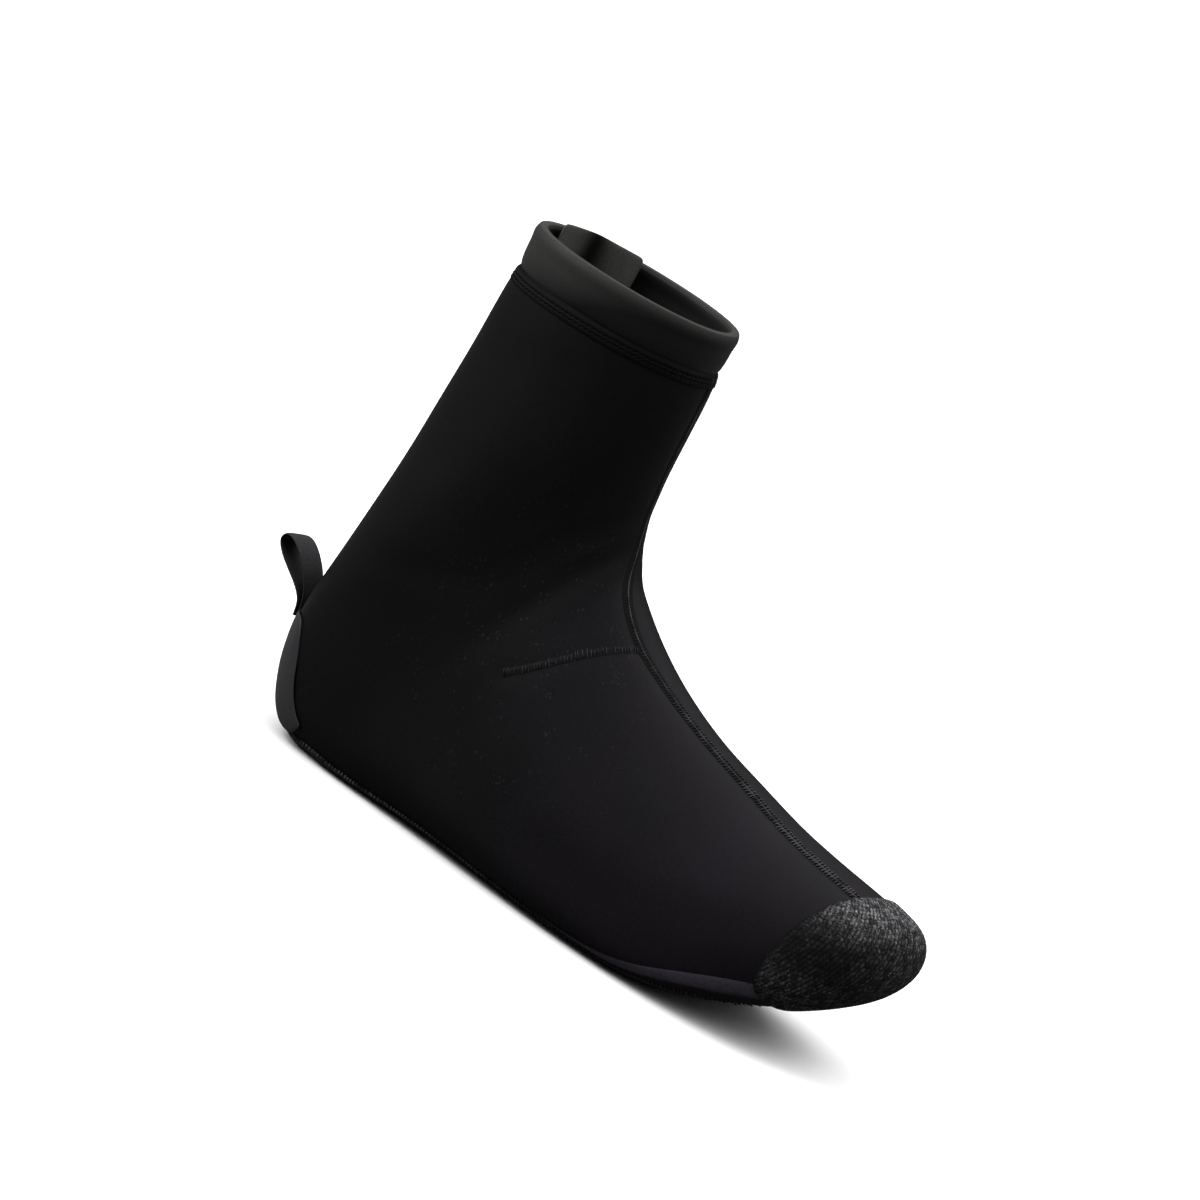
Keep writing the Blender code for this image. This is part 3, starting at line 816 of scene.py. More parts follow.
def stepped(corners: Array, step: float, closed: bool) -> Array:
    """Walks along a line in even steps.

    Args:
        corners: The line's corners, one row each, in metres.
        step: The length of a step, in metres.
        closed: Whether the last corner meets the first.

    Returns:
        One row for each step.
    """
    if closed:
        corners = np.vstack([corners, corners[:1]])
    marks = np.concatenate([[0.0], np.linalg.norm(np.diff(corners, axis=0), axis=1).cumsum()])
    count = round(marks[-1] / step)
    steps = np.linspace(0.0, marks[-1], count + (not closed), endpoint=not closed)
    return np.column_stack([np.interp(steps, marks, column) for column in corners.T])


@dataclass
class Trail:
    """A line on the skin, with the directions along it, across it and out of the skin at each place."""

    places: Array
    along: Array
    across: Array
    normals: Array
    closed: bool

    @classmethod
    def on(cls, skin: Skin, corners: Array, step_mm: float, closed: bool = False) -> "Trail":
        """Lays a soft line on the skin.

        Args:
            skin: What it lies on.
            corners: Places that it passes, one row each, in metres.
            step_mm: The distance between its places.
            closed: Whether its end meets its start.

        Returns:
            The line.
        """
        places, normals = skin.nearest(softened(stepped(corners, step_mm * MM, closed), LINE_PASSES, closed))
        places = softened(places, PLACE_PASSES, closed)
        normals = unit(softened(normals, LINE_PASSES, closed))
        if closed:
            along = np.roll(places, -1, axis=0) - np.roll(places, 1, axis=0)
        else:
            along = np.gradient(places, axis=0)
        along = unit(along - (along * normals).sum(axis=1)[:, None] * normals)
        return cls(places, along, np.cross(normals, along), normals, closed)

    def ribbon(self, profile: Sequence[Span]) -> Mesh:
        """Sweeps a closed outline along the line.

        Args:
            profile: Distances across the line and out of the skin, in millimetres.

        Returns:
            Points and faces.
        """
        outline = np.array(profile)[None] * MM
        points = (self.places[:, None] + outline[..., :1] * self.across[:, None]
                  + outline[..., 1:] * self.normals[:, None])
        return points.reshape(-1, 3), tube(*points.shape[:2], self.closed)

    def sewn(self, thread: Mesh, every: int, shift: Span = (0.0, 0.0), sway: float = 0.06,
             sizes: Array | None = None) -> Mesh:
        """Sets one piece of thread at every few places.

        Args:
            thread: The piece, in millimetres along, across and out of the skin.
            every: How many places on the next piece lies.
            shift: How far the pieces lie across the line and out of the skin, in millimetres.
            sway: How far each piece lies off its place by chance, in millimetres, and how much longer it is.
            sizes: How large the piece and its shift are at each place, from 0 to 1, where they aren't all 1.

        Returns:
            Points and faces of all pieces.
        """
        chance = np.random.default_rng(SEED)
        sizes = np.ones(len(self.places)) if sizes is None else sizes
        parts = []
        for n in range(0, len(self.places), every):
            off = chance.normal(0.0, sway, 2)
            longer = 1.0 + chance.normal(0.0, sway)
            grown = thread[0] * [1.0, longer * sizes[n], sizes[n]]
            moved = grown + [off[1], shift[0] * sizes[n] + off[0], shift[1] * sizes[n]]
            axes = np.array([self.along[n], self.across[n], self.normals[n]])
            parts.append((self.places[n] + moved * MM @ axes, thread[1]))
        return joined(parts)


def ring(radius: float, across: float = 0.0, out: float = 0.0) -> list[Span]:
    """The outline of a round cord beside a line on the skin, in millimetres across it and out of it."""
    turns = np.linspace(0.0, FULL_TURN, 8, endpoint=False)
    return [(across + radius * math.cos(turn), out + radius * math.sin(turn)) for turn in turns]


def thread_piece(length: float, radius: float, rise: float, dip: float, lies_along: bool,
                 slant: float) -> Mesh:
    """Models one stitch: a short round thread, bowed up in the middle, whose thin ends go into the cloth.

    Args:
        length: From end to end, in millimetres.
        radius: Of the thread, in millimetres.
        rise: How high its middle lies, in millimetres.
        dip: How deep its ends go, in millimetres.
        lies_along: Whether it lies along its line or across it.
        slant: How far one end is ahead of the other, as a share of the length.

    Returns:
        Points, in millimetres along, across and out of the skin, and faces.
    """
    sides, rings, thinnest = 6, 7, 0.12
    turns = np.arange(sides) * FULL_TURN / sides
    share = np.linspace(-1.0, 1.0, rings)[:, None]
    girth = radius * np.sqrt(np.maximum(1.0 - abs(share) ** 6, thinnest))
    up = (rise + dip) * (1.0 - abs(share) ** 3) - dip + girth * np.sin(turns)
    run = np.repeat(share * length / 2, sides, axis=1)
    side = girth * np.cos(turns) + slant * run
    points = np.stack((run, side, up) if lies_along else (side, run, up), axis=2)
    return points.reshape(-1, 3), tube(rings, sides)


# Sub-assemblies


@dataclass(frozen=True)
class Crease:
    """A soft trough with low ridges beside it, along a line near the skin."""

    path: tuple[Point, ...]
    depth: float
    width: float


@dataclass
class Shell:
    """The stretch shell: a hollow wall from toe to collar, with soft troughs and ridges where it is bent."""

    levels: int = 2
    # A line through the middle of the foot and the ankle, from which outside and inside are told apart
    core: tuple[Point, ...] = (
        (125, 6, 50), (60, 0, 42), (0, 0, 46), (-55, 0, 58), (-75, 0, 105), (-76, 0, 245))
    creases: tuple[Crease, ...] = (
        # Across the bend of the ankle, on the outer and the inner side
        Crease(((-15, -12, 131), (-24, -28, 125), (-38, -37, 120)), 0.35, 9.0),
        Crease(((-14, 14, 131), (-23, 29, 124), (-38, 38, 117)), 0.7, 6.0),
        Crease(((-22, -24, 150), (-34, -34, 143), (-50, -40, 140)), 0.4, 9.0),
        # From the ankle to the heel and up the shaft, where the cloth hangs a little loose
        Crease(((-60, -41, 104), (-82, -42, 96), (-104, -36, 90)), 0.5, 8.0),
        Crease(((-62, -41, 150), (-66, -41, 172), (-72, -41, 196)), 0.4, 12.0),
        Crease(((-96, -35, 140), (-92, -37, 165), (-90, -37, 188)), 0.4, 11.0),
        # Over the ball of the foot, where it flexes
        Crease(((40, 52, 30), (52, 47, 52), (60, 34, 72)), 0.5, 7.0),
        # Along the outer side of the ball, above the rubber
        Crease(((19, -51, 30), (45, -52, 27), (66, -51, 31), (89, -48, 39), (107, -43, 46)), 0.5, 11.0),
    )
    ridge: float = 0.6
    seam_depth: float = 0.35
    seam_width: float = 5.0
    slack: float = 0.3
    slack_length: float = 38.0
    # How far from the sole and from the collar the shell is held to the solid's shape
    held_mm: float = 18.0

    def build(self, seams: Sequence[Array]) -> Skin:
        """Copies the solid, shapes it and lays the finishes on its outside and inside.

        Args:
            seams: The lines of the seams, in metres, along which the cloth is drawn in.

        Returns:
            The skin, for the pieces that are sewn on.
        """
        item = smooth_copy("upper", "shell", self.levels)
        points = points_of(item.data)
        lift = np.array([noise.noise(Vector(p) / (self.slack_length * MM)) for p in points]) * self.slack
        for crease in self.creases:
            lift += self.trough(points, np.array(crease.path) * MM, crease.depth, crease.width)
        for path in seams:
            lift += self.trough(points, path, self.seam_depth, self.seam_width)
        low, high = (v.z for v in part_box("upper"))
        held = np.clip(np.minimum(points[:, 2] - low, high - points[:, 2]) / (self.held_mm * MM), 0.0, 1.0)
        move_points(item, points + (lift * held * MM)[:, None] * self.outwards(points))
        dress(item, Slot.SHELL, JERSEY, LINING)
        faces = item.data.polygons
        centres, normals = (np.array(rows) for rows in zip(*((p.center, p.normal) for p in faces)))
        inside = (normals * self.outwards(centres)).sum(axis=1) < 0
        faces.foreach_set("material_index", inside.astype(np.int32))
        return Skin(item)

    def outwards(self, points: Array) -> Array:
        """Directions away from the core line, one unit vector for each point."""
        return unit(points - nearest_on_path(points, np.array(self.core) * MM))

    def trough(self, points: Array, path: Array, depth: float, width: float) -> Array:
        """How far a crease lifts each point, in millimetres: less than nothing in its trough."""
        share = (np.linalg.norm(points - nearest_on_path(points, path), axis=1) / (width * MM)) ** 2
        return -depth * (1.0 - self.ridge * share) * np.exp(-share)


@dataclass
class FlatSeam:
    """A flat-lock seam: a low bed of thread with a ladder of cross threads, and a cord along its middle."""

    name: str
    order: Callable[[Array], Array]
    half_width: float
    height: float = 0.75
    pitch: float = 1.4
    has_cord: bool = False
    steps_per_stitch: int = 2
    points_per_row: int = 6
    tucks: Span = (0.0, 0.0)
    bar: float = 0.24
    cord: float = 0.34
    sway: float = 0.06
    # Where the cross threads begin to grow towards the toe and where they are full, and their least size
    grown_from: Span = (-25.0, 70.0)
    grown_least: float = 0.4
    bed: Finish = SEAM_BED
    bars: Finish = SEAM_THREAD

    def line(self) -> Array:
        """Finds the middle of the seam's solid.

        Returns:
            One row for each of its sections, run on under its neighbours, in metres.
        """
        points = np.unique(np.round(points_of(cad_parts[self.name].data), 7), axis=0)
        points = points[np.argsort(self.order(points))]
        rows = np.array_split(points, round(len(points) / self.points_per_row))
        middle = np.array([row.mean(axis=0) for row in rows])
        first = middle[0] + unit(middle[0] - middle[1]) * self.tucks[0] * MM
        last = middle[-1] + unit(middle[-1] - middle[-2]) * self.tucks[1] * MM
        return np.vstack([first, middle[1:-1], last])

    def build(self, skin: Skin) -> None:
        """Lays the bed, the cross threads and the cord on the skin.

        Args:
            skin: What the seam lies on.
        """
        trail = Trail.on(skin, self.line(), self.pitch / self.steps_per_stitch)
        half, top = self.half_width, self.height
        # Half of the bed's outline, from its edge in the cloth to its flat middle
        flank = [(half + 0.5, -0.3), (half, 0.05), (half * 0.8, 0.2 * top), (half * 0.3, 0.3 * top)]
        outline = [(-across, out) for across, out in flank] + flank[::-1]
        bed = new_mesh(self.name + "_bed", trail.ribbon(outline))
        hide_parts(self.name)
        dress(bed, Slot.THREAD, self.bed)
        if self.has_cord:
            rung = thread_piece(half * 0.95, self.bar, rise=0.42 * top, dip=0.3, lies_along=False, slant=0.25)
            sizes = np.interp(trail.places[:, 0] / MM, self.grown_from, (self.grown_least, 1.0))
            shifts = [(side * half * 0.62, 0.35) for side in (-1, 1)]
            cord = new_mesh(self.name + "_cord", trail.ribbon(ring(self.cord, 0.0, 0.5 * top)))
            dress(cord, Slot.THREAD, GREY_THREAD)
        else:
            rung = thread_piece(half * 2.0, self.bar, rise=0.35 * top, dip=0.35, lies_along=False, slant=0.2)
            sizes = None
            shifts = [(0.0, 0.3)]
        ladder = [trail.sewn(rung, self.steps_per_stitch, shift, self.sway, sizes) for shift in shifts]
        dress(new_mesh(self.name + "_ladder", joined(ladder)), Slot.THREAD, self.bars)


@dataclass
class ToeGuard:
    """The toe cap: rows of knitted loops round the whole toe, drawn in at a smooth edge."""

    centre: Point = (132.05, 2.7, 46.0)
    skew: float = 0.22
    # The edge is sought between these two angles from straight ahead, by halving, and kept inside by a margin
    widest: Span = (60.0, 100.0)
    halvings: int = 12
    margin: float = 0.4
    rows: int = 150
    columns: int = 500
    inner_every: int = 10
    # The turn of the rows of knitting in the flat cloth that is drawn over the toe
    lay: float = math.radians(-27.0)
    row_mm: float = 1.9
    loop_mm: float = 2.6
    loop_depth: float = 0.22
    crest_power: float = 0.8
    relief: float = 0.32
    # The loops flatten and the cloth is drawn in towards the edge, over this width and by this much
    edge_mm: float = 3.6
    edge_fade: Span = (1.6, 0.2)
    edge_passes: int = 8
    sink: float = 1.15
    thickness: float = 1.3
    reach: float = 0.12
    # Painted light: the grey flecks show most on top of the toe and round the tip, where the light falls, and
    # least on the side under the top, in painted shade
    heights: tuple[float, ...] = (26.0, 36.0, 46.0, 55.0, 62.0, 70.0)
    shares: tuple[float, ...] = (0.38, 0.28, 0.085, 0.075, 0.4, 0.95)
    tip_from: Span = (138.0, 158.0)
    tip_painted_light: float = 0.36
    fleck_shares: Span = (0.2, 1.3)

    def build(self) -> None:
        """Reads the outside of the solid as a fine net round the toe and raises the loops on it."""
        base = smooth_copy("toe_cap", "toe_base", 3)
        tree = face_tree(base)
        ahead = unit(np.array([1.0, -self.skew, 0.0]))
        across = np.array([-ahead[1], ahead[0], 0.0])
        up = np.array([0.0, 0.0, 1.0])
        turns = np.arange(self.columns) * FULL_TURN / self.columns
        sideways = np.cos(turns)[:, None] * across + np.sin(turns)[:, None] * up
        spreads = np.linspace(0.0, 1.0, self.rows + 1)[1:, None] * self.edge(tree, ahead, sideways)
        rays = np.cos(spreads)[..., None] * ahead + np.sin(spreads)[..., None] * sideways
        places, normals = (found.reshape(rays.shape) for found in self.hits(tree, rays.reshape(-1, 3)))
        tip, _ = self.hits(tree, ahead[None])
        crest, lots, edge = self.loops(places, tip, turns)
        outer = places + (crest * self.relief - edge * self.sink)[..., None] * normals * MM
        inner = (places - normals * self.thickness * MM)[::-self.inner_every]
        inner_tip = tip - ahead * self.thickness * MM
        points = np.vstack([tip, outer.reshape(-1, 3), inner.reshape(-1, 3), inner_tip])
        item = new_mesh("toe_guard", (points, self.net(len(outer) + len(inner))))
        # The light attribute: crests, random lots of yarn and the painted light of the toe's top and tip
        light = np.zeros(len(points))
        light[1:1 + crest.size] = (crest * lots * self.light(places)).ravel()
        shade(item, light)
        bpy.data.objects.remove(base)
        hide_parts("toe_cap")
        dress(item, Slot.KNIT, ABRASION_KNIT)

    def cast(self, tree: BVHTree, ray: Array) -> tuple[Any, ...]:
        """What a line from outside towards the centre of the toe meets, along this way from the centre."""
        return tree.ray_cast(tuple(np.array(self.centre) * MM + ray * self.reach), tuple(-ray), self.reach)

    def edge(self, tree: BVHTree, ahead: Array, sideways: Array) -> Array:
        """Finds how far round from straight ahead the solid reaches.

        Args:
            tree: The solid's faces.
            ahead: The direction of the toe.
            sideways: Directions square to it, one row each.

        Returns:
            One angle for each of those directions, in radians.
        """
        found = []
        for side in sideways:
            near, far = (math.radians(v) for v in self.widest)
            for _ in range(self.halvings):
                middle = (near + far) / 2
                met = self.cast(tree, math.cos(middle) * ahead + math.sin(middle) * side)[0] is not None
                near, far = (middle, far) if met else (near, middle)
            found.append(near - math.radians(self.margin))
        return softened(np.array(found)[:, None], self.edge_passes, True)[:, 0]

    def hits(self, tree: BVHTree, rays: Array) -> tuple[Array, Array]:
        """The places where lines along these ways from the centre meet the solid, and the normals there."""
        found = [self.cast(tree, ray) for ray in rays]
        return np.array([f[0] for f in found]), np.array([f[1] for f in found])

    def light(self, places: Array) -> Array:
        """Tells how much light is painted on the knit.

        Args:
            places: The net's points, in metres.

        Returns:
            A share for each of them.
        """
        side = np.interp(places[..., 2] / MM, self.heights, self.shares)
        ahead = np.clip((places[..., 0] / MM - self.tip_from[0]) / np.ptp(self.tip_from), 0.0, 1.0)
        return np.maximum(side, self.tip_painted_light * ahead)

    def loops(self, places: Array, tip: Array, turns: Array) -> tuple[Array, Array, Array]:
        """Lays rows of loops over the toe, straight in the flat cloth, whose middle lies on the tip.

        Args:
            places: The net's points, row by row, in metres.
            tip: The point in the middle of the net, in metres.
            turns: The direction of each column of the net round the tip, in radians.

        Returns:
            For each point how high the knit stands, from 0 between rows and loops to 1 on a crest, how light
            its loop's yarn is by chance, and a share from 0 inside to 1 at the edge.
        """
        from_tip = np.concatenate([np.broadcast_to(tip, (1, self.columns, 3)), places])
        reached = np.linalg.norm(np.diff(from_tip, axis=0), axis=2).cumsum(axis=0) / MM
        run = reached * np.cos(turns - self.lay) / self.row_mm
        row = np.floor(run).astype(int)
        place = reached * np.sin(turns - self.lay) / self.loop_mm + row % 2 * 0.5
        dent = self.loop_depth * (1.0 - np.cos(FULL_TURN * place))
        crest = np.sin(np.pi * (run - row)) ** self.crest_power * (1.0 - dent)
        loop = np.round(place).astype(int)
        lots = np.random.default_rng(SEED).uniform(*self.fleck_shares, (np.ptp(row) + 1, np.ptp(loop) + 1))
        inside = np.clip((reached[-1] - reached) / self.edge_mm, 0.0, 1.0)
        height = crest * np.clip(inside * self.edge_fade[0] - self.edge_fade[1], 0.0, 1.0)
        return height, lots[row - row.min(), loop - loop.min()], (1.0 - inside) ** 2

    def net(self, rows: int) -> Faces:
        """Spans a closed net: a fan at the tip outside and inside, and bands of quads from row to row.

        Args:
            rows: How many rows of points it has, outside and inside together.

        Returns:
            Its faces; the first point is the tip outside and the last one the tip inside.
        """
        faces = [tuple(n + 1 for n in face) for face in quads(rows, self.columns, True)]
        last = 1 + (rows - 1) * self.columns
        for n in range(self.columns):
            after = (n + 1) % self.columns
            faces += [(0, 1 + n, 1 + after), (last + self.columns, last + after, last + n)]
        return faces


@dataclass
class Collar:
    """The knitted band round the top, the folded hem under it and the tape of the closure inside."""

    sectors: int = 72
    roll: float = 0.7
    roll_below: float = 3.2
    roll_width: float = 3.0
    puff: float = 0.5
    band_height: float = 19.5
    # How far below the rim the painted light on the band reaches, at the front and how much more at the back,
    # where the light falls
    painted_light_reach: Span = (6.5, 40.0)
    painted_light_power: float = 2.2
    painted_light_least: float = 0.2
    # How much painted light the inside of the band keeps, beside the closure and at the front; the rest is
    # painted shade
    inner_painted_light: Span = (0.0, 0.4)
    inner_below: float = 2.2
    hem_height: float = 4.6
    hem_thickness: float = 0.45
    # How much light is painted on the hem's ridges at the back
    hem_painted_light: float = 0.7
    # A black cord along the hem's lower edge, standing in for the shadow line under it
    shadow_cord: float = 0.32
    # The middles of the hem's two grooves, as shares of its half height, and places and heights across each
    grooves: Span = (-0.45, 0.3)
    groove: tuple[Span, ...] = ((-0.24, 1.0), (-0.16, 0.8), (0.0, -0.2), (0.16, 0.8), (0.24, 1.0))
    stitch: float = 2.3
    stitch_radius: float = 0.36
    stitch_pitch: float = 2.6
    stitch_steps: int = 3
    lobe_depth: float = 2.4
    fold_place: float = 0.36
    fold_width: float = 4.5
    # How much painted light the far lobe keeps, against the near one
    far_lobe_painted_light: float = 0.72

    def build(self, skin: Skin) -> None:
        """Makes the band, the hem with its two rows of stitches, and the tape.

        Args:
            skin: What the hem lies on.
        """
        self.band()
        self.hem(skin)
        self.tape()

    def around(self, points: Array) -> tuple[Array, Array]:
        """The sector of each point round the middle of the collar, and its level way from there."""
        return sectors(points, "collar_band", self.sectors)

    def band(self) -> None:
        """Rolls the top of the band into a soft rim and paints light and shade on it: light on the rim,
        further down at the back, shade inside.
        """
        item = smooth_copy("collar_band", "collar", 3)
        points = points_of(item.data)
        sector, level = self.around(points)
        out, radius = unit(level), np.linalg.norm(level, axis=1)
        lift, light = np.zeros(len(points)), np.zeros(len(points))
        for n in np.unique(sector):
            mine = sector == n
            below = (points[mine, 2].max() - points[mine, 2]) / MM
            outside = radius[mine] > (radius[mine].max() + radius[mine].min()) / 2
            bulge = self.puff * np.sin(np.pi * np.clip(below / self.band_height, 0.0, 1.0)) * outside
            roll = self.roll * np.exp(-((below - self.roll_below) / self.roll_width) ** 2)
            lift[mine] = np.where(outside, roll, -roll) + bulge
            # Painted light on the outside from the rim down, more at the back; painted shade inside, but for
            # a lit strip at its top edge
            front = (out[mine, 0] + 1) / 2
            pale = 1 - below / (self.painted_light_reach[0] + self.painted_light_reach[1] * (1 - front) ** self.painted_light_power)
            pale = np.maximum(pale, self.painted_light_least * front ** 3)
            inner = self.inner_painted_light[0] + front ** 3 * np.diff(self.inner_painted_light)
            light[mine] = np.clip(np.where(outside | (below < self.inner_below), pale, inner), 0.0, 1.0)
        move_points(item, points + (lift * MM)[:, None] * out)
        shade(item, light)
        dress(item, Slot.COLLAR, ELASTIC)

    def hem(self, skin: Skin) -> None:
        """Lays the folded edge of the shell under the band and sews it down.

        Args:
            skin: What the hem lies on.
        """
        trail = Trail.on(skin, self.edge(skin), self.stitch_pitch / self.stitch_steps, True)
        half, top = self.hem_height / 2, self.hem_thickness
        outline = [(-half - 0.4, -0.3), (-half - 0.2, 0.1), (-half * 0.92, 0.75 * top)]
        for place in self.grooves:
            outline += [((place + step) * half, height * top) for step, height in self.groove]
        # The upper edge lies on the foot of the band, so that no gap shows between them
        outline += [(half * 0.85, 0.9 * top), (half + 0.4, 0.2 * top)]
        outline += [(half + 1.2, -0.25), (half + 1.8, -0.6)]
        hem = new_mesh("collar_hem", trail.ribbon(outline))
        # Painted light on the hem's raised ridges, growing towards the back; its grooves and its front stay
        # in painted shade
        back = (1 - unit(self.around(trail.places)[1])[:, 0]) / 2
        raised = np.clip([height / top for _, height in outline], 0.0, 1.0) ** 3
        shade(hem, (self.hem_painted_light * back[:, None] ** 3 * raised).ravel())
        dress(hem, Slot.COLLAR, EDGING)
        piece = thread_piece(self.stitch, self.stitch_radius, rise=0.1, dip=0.3, lies_along=True, slant=0.1)
        rows = [trail.sewn(piece, self.stitch_steps, (place * half, top * 0.3)) for place in self.grooves]
        dress(new_mesh("collar_stitches", joined(rows)), Slot.THREAD, THREAD)
        # Painted shadow line: a black cord along the hem's lower edge
        edge = trail.ribbon(ring(self.shadow_cord, -half - 0.25, 0.1))
        dress(new_mesh("collar_shadow_cord", edge), Slot.THREAD, THREAD)

    def edge(self, skin: Skin) -> Array:
        """Finds the line of the hem.

        Args:
            skin: What the hem lies on.

        Returns:
            Points round the shell, half a hem's height below its top edge, in metres.
        """
        points = points_of(skin.item.data)
        near = points[points[:, 2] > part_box("collar_band")[0].z - self.hem_height * MM]
        return top_edge(near, self.around(near)[0]) - [0.0, 0.0, self.hem_height / 2 * MM]

    def tape(self) -> None:
        """Folds the closure's tape along its middle, so that it stands off the band in two lobes, and paints
        shade in the fold and on the far lobe.
        """
        item = smooth_copy("closure_tab", "closure_tape", 3)
        low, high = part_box("closure_tab")
        points = points_of(item.data)
        across = (points[:, 0] - low.x - (high.x - low.x) * self.fold_place) / MM
        lobes = 1.0 - np.exp(-(across / self.fold_width) ** 2)
        lift = self.lobe_depth * lobes * np.clip((points[:, 2] - low.z) / (high.z - low.z) * 2, 0.0, 1.0)
        move_points(item, points - (lift * MM)[:, None] * unit(self.around(points)[1]))
        # Painted shade: dark in the fold, and the far lobe darker than the near one
        shade(item, lobes * np.where(across > 0.0, self.far_lobe_painted_light, 1.0))
        dress(item, Slot.COLLAR, TAB_TAPE)


@dataclass
class Heel:
    """The smooth panel round the heel and the pull loop sewn to its top."""

    twist: float = math.radians(10.0)
    # Painted shade on the loop: how pale the tape is where it faces neither in nor out, and how quickly that
    # changes as it turns
    side_share: float = 0.5
    side_change: float = 2.0

    def build(self) -> None:
        """Makes the panel and the loop, which is twisted a little towards its end and has painted shade on
        its inner faces.
        """
        dress(smooth_copy("heel_panel", "heel_guard", 2), Slot.HEEL, HEEL_FILM)
        loop = smooth_copy("pull_loop", "loop_tape", 3)
        low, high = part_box("pull_loop")
        points = points_of(loop.data)
        turn = -self.twist * np.clip((points[:, 2] - low.z) / (high.z - low.z), 0.0, 1.0)
        middle = np.array((low + high) / 2)
        level = points - middle
        points[:, 0] = middle[0] + level[:, 0] * np.cos(turn) - level[:, 1] * np.sin(turn)
        points[:, 1] = middle[1] + level[:, 0] * np.sin(turn) + level[:, 1] * np.cos(turn)
        move_points(loop, points)
        normals = np.array([v.normal for v in loop.data.vertices])
        faces_out = (normals * unit(points - middle)).sum(axis=1)
        # Paler on faces turned out, painted shade on faces turned into the loop
        shade(loop, np.clip(self.side_share + self.side_change * faces_out, 0.0, 1.0))
        dress(loop, Slot.COLLAR, TAPE)


@dataclass
class Sole:
    """The thin rubberised panel under the foot, cut out for cleat and heel, and overlocked along its edge."""

    sectors: int = 120
    thread: float = 0.38
    thread_step: float = 1.7
    # The overlock stitches that bow over the edge. The bow is how high the middle lies and how deep the ends,
    # and the place is how far above the edge and out of it they lie
    stitch: float = 3.2
    stitch_radius: float = 0.42
    stitch_slant: float = 0.5
    stitch_bow: Span = (0.2, 1.2)
    stitch_place: Span = (-0.1, 1.35)
    stitch_sway: float = 0.15
    # The upper edge of the rubber that is turned up beside the ball of the foot, on the outer side
    rand: tuple[Point, ...] = (
        (23, -48, 4.2), (28, -48.4, 5.0), (40, -49.3, 5.2), (52, -50.4, 5.8), (63, -51.4, 7.5),
        (77, -51.5, 11.9), (88, -50.7, 16.9), (99, -48.7, 21.8), (114, -44.5, 27.6), (120, -42, 29.5),
        (129, -37, 31))
    rand_step: float = 1.5
    # How far down it reaches and how wide its pale edge is, at its back end and at the toe; below the pale
    # edge it carries painted shadow
    rand_depth: Span = (4.0, 16.0)
    rand_pale: Span = (3.2, 6.5)
    rand_slope: float = 0.5
    rand_columns: int = 13
    rand_passes: int = 10
    rand_thickness: float = 0.3
    # The cord along its upper edge: thickness, and how far out of the skin it lies
    rand_thread: float = 0.3
    rand_thread_out: float = 0.15

    def build(self, skin: Skin) -> None:
        """Makes the panel, no lower than the floor, its overlocked edge and the rubber beside the ball.

        Args:
            skin: What the threads and the rubber lie on.
        """
        item = smooth_copy("sole", "sole_panel", 2)
        points = points_of(item.data)
        points[:, 2] = np.maximum(points[:, 2], 0.0)
        move_points(item, points)
        dress(item, Slot.SOLE, RUBBER)
        edge = top_edge(points, sectors(points, "sole", self.sectors, True)[0])
        trail = Trail.on(skin, edge, self.thread_step, True)
        threads = [trail.ribbon(ring(self.thread))]
        piece = thread_piece(self.stitch, self.stitch_radius, *self.stitch_bow, False, self.stitch_slant)
        stitches = trail.sewn(piece, 1, self.stitch_place, self.stitch_sway)
        stitches[0][:, 2] = np.maximum(stitches[0][:, 2], 0.0)
        dress(new_mesh("sole_overlock", stitches), Slot.THREAD, OVERLOCK_THREAD)
        sheets, lights = [], []
        cord = ring(self.rand_thread, 0.0, self.rand_thread_out)
        for side in (1.0, -1.0):
            line = np.array(self.rand) * [1.0, side, 1.0] * MM
            threads.append(Trail.on(skin, line, self.rand_step).ribbon(cord))
            grid, light = self.rand_grid(line)
            sheets.append(skin.sheet(grid, self.rand_thickness))
            lights += [light.ravel()] * 2
        rand = new_mesh("sole_rand", joined(sheets))
        shade(rand, np.concatenate(lights))
        dress(rand, Slot.SOLE, RAND)
        dress(new_mesh("sole_thread", joined(threads)), Slot.THREAD, THREAD)

    def rand_grid(self, line: Array) -> tuple[Array, Array]:
        """Spreads the turned-up rubber from its upper edge down and in to the sole.

        Args:
            line: The upper edge, one row for each corner, in metres.

        Returns:
            Places near the skin, rows along the edge and columns down from it, and how pale each of them is:
            pale along the edge, in painted shadow below it.
        """
        upper = softened(stepped(line, self.rand_step * MM, False), self.rand_passes, False)
        share = ((upper[:, 2] - upper[0, 2]) / (upper[-1, 2] - upper[0, 2]))[:, None]
        columns = np.linspace(0.0, 1.0, self.rand_columns)
        depth = (self.rand_depth[0] + share * np.diff(self.rand_depth)) * columns
        light = np.clip(self.rand_pale[0] + share * np.diff(self.rand_pale) - depth + 0.5, 0.0, 1.0)
        inwards = -np.sign(line[0, 1]) * self.rand_slope * depth
        return upper[:, None] + np.stack([np.zeros_like(depth), inwards, -depth], axis=2) * MM, light


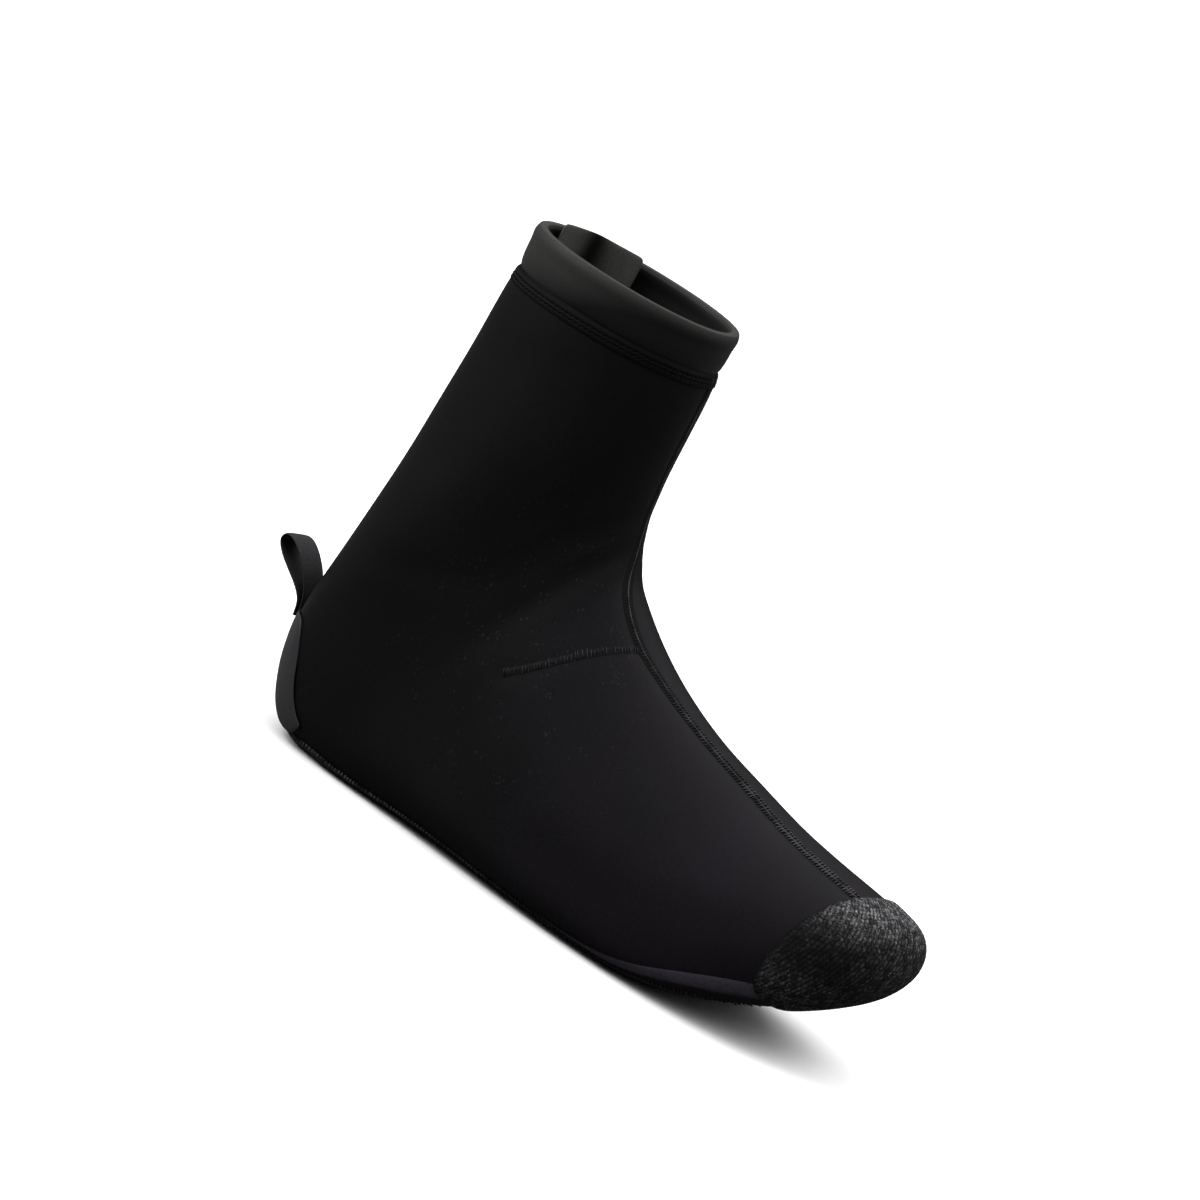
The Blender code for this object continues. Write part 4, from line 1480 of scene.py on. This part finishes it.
@dataclass
class Studio:
    """A pale floor, soft white light and a camera at the photograph's angle to the shoe."""

    turn: float = 19.0
    tilt: float = 12.0
    roll: float = 28.13
    distance: float = 1.9
    target: Point = (0.0, 0.0, 0.12)
    target_pixel: Span = (657.85, 624.0)
    image_pixels: float = 1200.0
    pixels_per_mm: float = 2.486
    sensor_mm: float = 36.0
    sight: float = 100.0
    floor_size: float = 60.0
    flagged: str = "#707070"
    # The dome's light low down and overhead, and the heights between which it changes
    dome: Span = (0.05, 2.4)
    dome_heights: Span = (0.35, 0.85)
    # Name, place in metres and watts of each soft box
    soft_boxes: tuple[tuple[str, Point, float], ...] = (
        ("soft box beside the heel", (-1.25, -0.75, 1.0), 24.0),
        ("soft box over the toe", (0.7, 0.7, 1.4), 8.0))
    soft_box_size: float = 0.9
    soft_box_target: Point = (0.0, 0.0, 0.1)

    def build(self) -> None:
        """Makes the camera, the floor and the light."""
        self.place_camera()
        self.lay_floor()
        self.hang_light()

    def place_camera(self) -> None:
        """Stands the camera where the outline of the shoe is the photograph's."""
        turn, tilt, roll = (math.radians(v) for v in (self.turn, self.tilt, self.roll))
        level = Vector((math.cos(turn), math.sin(turn), 0.0))
        rise = Vector((-math.sin(turn) * math.sin(tilt), math.cos(turn) * math.sin(tilt), math.cos(tilt)))
        back = level.cross(rise)
        right = level * math.cos(roll) + rise * math.sin(roll)
        up = rise * math.cos(roll) - level * math.sin(roll)
        metre_per_pixel = MM / self.pixels_per_mm
        across, down = ((pixel - self.image_pixels / 2) * metre_per_pixel for pixel in self.target_pixel)
        place = Vector(self.target) + back * self.distance - right * across + up * down
        lens = bpy.data.cameras.new("camera")
        lens.sensor_width = self.sensor_mm
        lens.lens = self.sensor_mm * self.distance / (self.image_pixels * metre_per_pixel)
        lens.clip_end = self.sight
        camera = link_new("camera", lens)
        camera.matrix_world = Matrix.Translation(place) @ Matrix((right, up, back)).transposed().to_4x4()
        bpy.context.scene.camera = camera

    def lay_floor(self) -> None:
        """Lays a wide pale floor under the shoe."""
        bpy.ops.object.select_all(action="DESELECT")
        bpy.ops.mesh.primitive_plane_add(size=self.floor_size)
        floor = bpy.context.object
        floor.name = "floor"
        paper = Finish("matt white paper, rolled", "#f4f4f4", 0.9, 0.1).material()
        floor.data.materials.append(paper)
        # To rays other than the camera's the paper is a grey diffuse, which keeps most of its light off the
        # shoe's sides, as black flags beside it would
        tree = paper.node_tree
        flagged = add_node(tree, "BsdfDiffuse", {"Color": srgb(self.flagged)})
        seen = add_node(tree, "LightPath", {}, "Is Camera Ray")
        mix = add_node(tree, "MixShader", {0: seen, 1: flagged, 2: tree.nodes["Principled BSDF"].outputs[0]})
        tree.links.new(mix, tree.nodes["Material Output"].inputs["Surface"])

    def hang_light(self) -> None:
        """Lights the room from a soft dome that is brightest overhead, and from two soft boxes."""
        scene = bpy.context.scene
        scene.world = bpy.data.worlds.new("white studio")
        scene.world.use_nodes = True
        tree = scene.world.node_tree
        seen = add_node(tree, "LightPath", {}, "Is Camera Ray")
        height = add_node(tree, "SeparateXYZ", {"Vector": add_node(tree, "TexCoord", {}, "Generated")}, "Z")
        dome = add_node(tree, "MapRange", {"Value": height, FROM: self.dome_heights, TO: self.dome})
        power = add_node(tree, "Mix", {"Factor": seen, "A": dome, "B": 1.0}, data_type="FLOAT")
        background = tree.nodes["Background"].inputs
        background["Color"].default_value = srgb("#ffffff")
        tree.links.new(power, background["Strength"])
        for name, place, watts in self.soft_boxes:
            lamp = bpy.data.lights.new(name, "AREA")
            lamp.size = self.soft_box_size
            lamp.energy = watts
            item = link_new(name, lamp)
            item.location = place
            way = Vector(self.soft_box_target) - Vector(place)
            item.rotation_euler = way.to_track_quat("-Z", "Y").to_euler()
        scene.view_settings.view_transform = "Standard"


def around_toe(points: Array) -> Array:
    """Orders points from the toe over the instep up the shaft, by their turn about a place ahead of it."""
    ahead, above = 162.0 * MM, 260.0 * MM
    return -np.arctan2(points[:, 2] - above, points[:, 0] - ahead)


def down_the_side(points: Array) -> Array:
    """Orders points from the instep back, out and down."""
    return -points.sum(axis=1)


def main() -> None:
    """Builds the shoe piece by piece."""
    logging.basicConfig(level=logging.INFO, format="%(name)s %(message)s")
    Studio().build()
    seams = (
        FlatSeam("front_seam", around_toe, 2.6, has_cord=True, tucks=(4.0, 1.0), bar=0.28, sway=0.15),
        FlatSeam("ankle_dart", down_the_side, 1.7, pitch=1.6, tucks=(1.8, 0.0), bar=0.22, sway=0.36,
                 bed=JERSEY, bars=DARK_THREAD),
    )
    skin = Shell().build([seam.line() for seam in seams])
    for seam in seams:
        seam.build(skin)
    ToeGuard().build()
    Collar().build(skin)
    Heel().build()
    Sole().build(skin)


if __name__ == "__main__":
    main()
